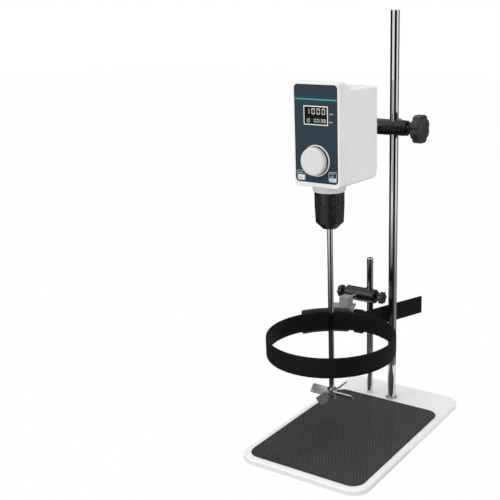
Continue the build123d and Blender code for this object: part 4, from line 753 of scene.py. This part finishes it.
# %% Strap
strap_low, strap_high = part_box("vessel_strap")
chuck_low, chuck_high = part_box("chuck_body")
LOOP_MIDDLE = ((chuck_low.x + chuck_high.x) / 2, (chuck_low.y + chuck_high.y) / 2)
LOOP_RADIUS = 91.55 * MM
STRAP_HALF = STRAP_WIDTH / 2 * MM
STRAP_THICK = 2.5 * MM
TAIL_START = math.radians(6.0)    # round the loop from straight back
TAIL_WAY = math.radians(69.0)     # heading of the free end, from the right towards the back
TAIL_LENGTH = 131.0 * MM
LOOP_STEPS = 180
TAIL_STEPS = 40
WELD = 1e-6
# Cross-section: place across, as a share of the half width, and crown, of the thickness.
PROFILE = [(-1.0, 0.2), (-0.94, 0.4), (-0.8, 0.5), (-0.4, 0.5), (0.0, 0.5), (0.4, 0.5),
           (0.8, 0.5), (0.94, 0.4), (1.0, 0.2)]


def swept_band(work, centres, normals, closed):
    """Sweeps the webbing's cross-section; u runs along the band and v across it, in metres."""
    weave = work.loops.layers.uv.get("weave") or work.loops.layers.uv.new("weave")
    outline = []
    for side in (1, -1):
        for across, crown in PROFILE[::side]:
            outline.append((side * crown * STRAP_THICK, across * STRAP_HALF))
    z = (strap_low.z + strap_high.z) / 2
    rings = []
    run = [0.0]
    for a, b in zip(centres, centres[1:]):
        run.append(run[-1] + math.hypot(b[0] - a[0], b[1] - a[1]))
    for (x, y), (nx, ny) in zip(centres, normals):
        rings.append([work.verts.new((x + nx * off, y + ny * off, z + v)) for off, v in outline])
    count = len(outline)
    for i in range(len(rings) - 1):
        for k in range(count):
            m = (k + 1) % count
            face = work.faces.new((rings[i][k], rings[i + 1][k], rings[i + 1][m], rings[i][m]))
            for loop, (step, corner) in zip(face.loops, ((i, k), (i + 1, k), (i + 1, m), (i, m))):
                loop[weave].uv = (run[step], outline[corner][1])
    if closed:
        bmesh.ops.remove_doubles(work, verts=rings[0] + rings[-1], dist=WELD)
    else:
        for ring in (rings[0], rings[-1]):
            face = work.faces.new(ring)
            for loop, (off, v) in zip(face.loops, outline):
                loop[weave].uv = (off, v)


work = bmesh.new()
centres, normals = [], []
for step in range(LOOP_STEPS + 1):
    turn = 2 * math.pi * step / LOOP_STEPS
    normals.append((math.cos(turn), math.sin(turn)))
    centres.append((LOOP_MIDDLE[0] + LOOP_RADIUS * normals[-1][0],
                    LOOP_MIDDLE[1] + LOOP_RADIUS * normals[-1][1]))
swept_band(work, centres, normals, True)
root = (LOOP_MIDDLE[0] - LOOP_RADIUS * math.sin(TAIL_START),
        LOOP_MIDDLE[1] + LOOP_RADIUS * math.cos(TAIL_START))
way = (math.cos(TAIL_WAY), math.sin(TAIL_WAY))
runs = [TAIL_LENGTH * step / TAIL_STEPS for step in range(TAIL_STEPS + 1)]
swept_band(work, [(root[0] + run * way[0], root[1] + run * way[1]) for run in runs],
           [(-way[1], way[0])] * len(runs), False)
bmesh.ops.recalc_face_normals(work, faces=work.faces)
strap_mesh = bpy.data.meshes.new("woven_strap")
work.to_mesh(strap_mesh)
work.free()
for face in strap_mesh.polygons:
    face.use_smooth = True
strap = piece_from("woven_strap", strap_mesh, strap_webbing, "vessel_holder")
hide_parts("vessel_strap")
print("strap size mm", [round(v / MM, 1) for v in strap.dimensions])

# %% [markdown]
# ## Studio
# A white surround and a floor that looks white, a soft key light from the front
# left, a broad one overhead and weaker light from everywhere else. The camera sees
# plain white behind the stirrer, and the floor keeps a faint shadow. The floor
# itself is light grey paper, so that less light comes back up under the stirrer.

# %% Studio
ROOM_LIGHT = 0.935       # of the surround; it is plain white to the camera and in mirrors
KEY_POWER = 10.0         # watts
KEY_PLACE = (-1.1, -1.9, 1.7)
KEY_SIZE = 1.2
TOP_POWER = 10.0
TOP_PLACE = (-0.2, -0.3, 2.5)
TOP_SIZE = 2.0
LIGHTS_AIM = (0, 0, 0.3)
PAPER_TONE = 0.68        # share of light that the floor sends back
FLOOR_LIFT = 0.985       # share of plain white in the floor that the camera sees
FLOOR_REACH = 8.0
FLOOR_HEIGHT = -0.0003   # a hair below the feet


def studio_world():
    """White to the camera and to reflections, and a weaker even light for the rest."""
    world = bpy.data.worlds.new("studio")
    world.use_nodes = True
    tree = world.node_tree
    tree.nodes.clear()
    path = add(tree, "ShaderNodeLightPath")
    seen = add(tree, "ShaderNodeMath", {0: path.outputs["Is Camera Ray"],
                                        1: path.outputs["Is Glossy Ray"]}, operation="MAXIMUM")
    seen = add(tree, "ShaderNodeMath", {0: seen.outputs[0],
                                        1: path.outputs["Is Transmission Ray"]},
               operation="MAXIMUM")
    strength = add(tree, "ShaderNodeMapRange",
                   {"Value": seen.outputs[0], "To Min": ROOM_LIGHT, "To Max": 1.0})
    sky = add(tree, "ShaderNodeBackground",
              {"Color": (1, 1, 1, 1), "Strength": strength.outputs[0]})
    add(tree, "ShaderNodeOutputWorld", {"Surface": sky.outputs[0]})
    return world


def studio_floor():
    """Grey paper that looks white to the camera, with a little of its shadow mixed in."""
    material = bpy.data.materials.new("studio_floor")
    material.use_nodes = True
    tree = material.node_tree
    tree.nodes.clear()
    path = add(tree, "ShaderNodeLightPath")
    seen = add(tree, "ShaderNodeMath", {0: path.outputs["Is Camera Ray"],
                                        1: path.outputs["Is Glossy Ray"]}, operation="MAXIMUM")
    lift = add(tree, "ShaderNodeMath", {0: seen.outputs[0], 1: FLOOR_LIFT}, operation="MULTIPLY")
    paper = add(tree, "ShaderNodeBsdfDiffuse", {"Color": [PAPER_TONE] * 3 + [1]})
    glow = add(tree, "ShaderNodeEmission", {"Color": (1, 1, 1, 1), "Strength": 1.0})
    mixed = add(tree, "ShaderNodeMixShader", {0: lift.outputs[0], 1: paper.outputs[0],
                                              2: glow.outputs[0]})
    add(tree, "ShaderNodeOutputMaterial", {"Surface": mixed.outputs[0]})
    return material


def sheet_object(name, corners, material):
    """One flat four-sided sheet of the studio."""
    mesh = bpy.data.meshes.new(name)
    mesh.from_pydata(corners, [], [(0, 1, 2, 3)])
    mesh.materials.append(material)
    made = bpy.data.objects.new(name, mesh)
    scene.collection.objects.link(made)
    return made


scene.world = studio_world()
floor = sheet_object("floor", [(side * FLOOR_REACH, end * FLOOR_REACH, FLOOR_HEIGHT)
                               for side, end in ((-1, -1), (1, -1), (1, 1), (-1, 1))],
                     studio_floor())


def soft_box(name, place, size, power):
    """Square soft box, size metres wide, that looks at the middle of the stirrer."""
    data = bpy.data.lights.new(name, "AREA")
    data.size = size
    data.energy = power
    made = bpy.data.objects.new(name, data)
    made.location = place
    aim = Vector(LIGHTS_AIM) - Vector(place)
    made.rotation_euler = aim.to_track_quat("-Z", "Y").to_euler()
    scene.collection.objects.link(made)
    return made


key = soft_box("key", KEY_PLACE, KEY_SIZE, KEY_POWER)
top = soft_box("top", TOP_PLACE, TOP_SIZE, TOP_POWER)
top.visible_glossy = False
print("studio:", floor.name, key.name, top.name)

# %% [markdown]
# ## What the polished bars mirror
# A standing bar mirrors the room sideways: each direction round the stand gives one
# stripe along the bar. A dark sector of floor that bends up into a wall gives a
# dark stripe. A sector of floor that is dark near the stand and fades to white
# further out darkens the lower part of each bar, which mirrors the nearer floor.

# %% Reflection cards
CARD_HEIGHT = 0.0002     # metres above the ground, where a card lies
CARD_NEAR = 0.16         # metres from the stand rod's axis
CARD_FAR = 1.6
CARD_TOP = 1.5
CARD_STEPS = 12
FADE_START = 0.68        # metres from the axis
FADE_END = 1.45
FELT_ROUGHNESS = 0.9
FELT_GRAIN = [(5, EVEN, 0.9, 0, 0)]
rod_low, rod_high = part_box("stand_rod_lower")
rod_middle = (rod_low + rod_high) / 2


def reflection_card(name, azimuths, profile, material):
    """Sector about the stand rod with a profile of (reach, height), seen by reflections only."""
    first, last = azimuths
    rows = len(profile)
    points = []
    for step in range(CARD_STEPS + 1):
        turn = math.radians(first + (last - first) * step / CARD_STEPS)
        for reach, height in profile:
            points.append((rod_middle.x + math.sin(turn) * reach,
                           rod_middle.y - math.cos(turn) * reach, height))
    faces = []
    for step in range(CARD_STEPS):
        for row in range(rows - 1):
            corner = rows * step + row
            faces.append((corner, corner + 1, corner + rows + 1, corner + rows))
    mesh = bpy.data.meshes.new(name)
    mesh.from_pydata(points, [], faces)
    mesh.materials.append(material)
    card = bpy.data.objects.new(name, mesh)
    scene.collection.objects.link(card)
    for kind in ("camera", "diffuse", "shadow", "transmission", "volume_scatter"):
        setattr(card, "visible_" + kind, False)
    return card


def fading_floor(name, near_tone):
    """Glowing sheet: near_tone close to the stand, white from FADE_END outwards."""
    material = bpy.data.materials.new(name)
    material.use_nodes = True
    tree = material.node_tree
    tree.nodes.clear()
    place = add(tree, "ShaderNodeTexCoord").outputs["Object"]
    away = add(tree, "ShaderNodeVectorMath", {0: place, 1: (rod_middle.x, rod_middle.y, 0)},
               operation="DISTANCE").outputs["Value"]
    tone = add(tree, "ShaderNodeMapRange",
               {"Value": away, "From Min": FADE_START, "From Max": FADE_END,
                "To Min": near_tone, "To Max": FLOOR_LIFT}).outputs[0]
    glow = add(tree, "ShaderNodeEmission", {"Color": (1, 1, 1, 1), "Strength": tone})
    add(tree, "ShaderNodeOutputMaterial", {"Surface": glow.outputs[0]})
    return material


# Azimuths are in degrees to the right of straight front.
STANDING = [(CARD_NEAR, CARD_HEIGHT), (CARD_FAR, CARD_HEIGHT), (CARD_FAR, CARD_TOP)]
LYING = [(CARD_NEAR, CARD_HEIGHT), (FADE_END, CARD_HEIGHT)]
# Matt felt of the standing cards, black, and grey where the room is brighter.
felt_cards = {"card_behind_left": ((-150, -42), "#050505"),
              "card_front_right": ((16, 76), "#040404"),
              "card_behind_right": ((118, 205), "#7A7A7A")}
for name, (azimuths, colour) in felt_cards.items():
    felt = finish(name, colour, FELT_ROUGHNESS, FELT_GRAIN)
    reflection_card(name, azimuths, STANDING, felt)
floor_cards = {"fade_front_left": ((-42, 16), 0.04),
               "fade_right": ((76, 118), 0.3)}
for name, (azimuths, near_tone) in floor_cards.items():
    reflection_card(name, azimuths, LYING, fading_floor(name, near_tone))
print("reflection cards:", len(felt_cards), "standing,", len(floor_cards), "lying")
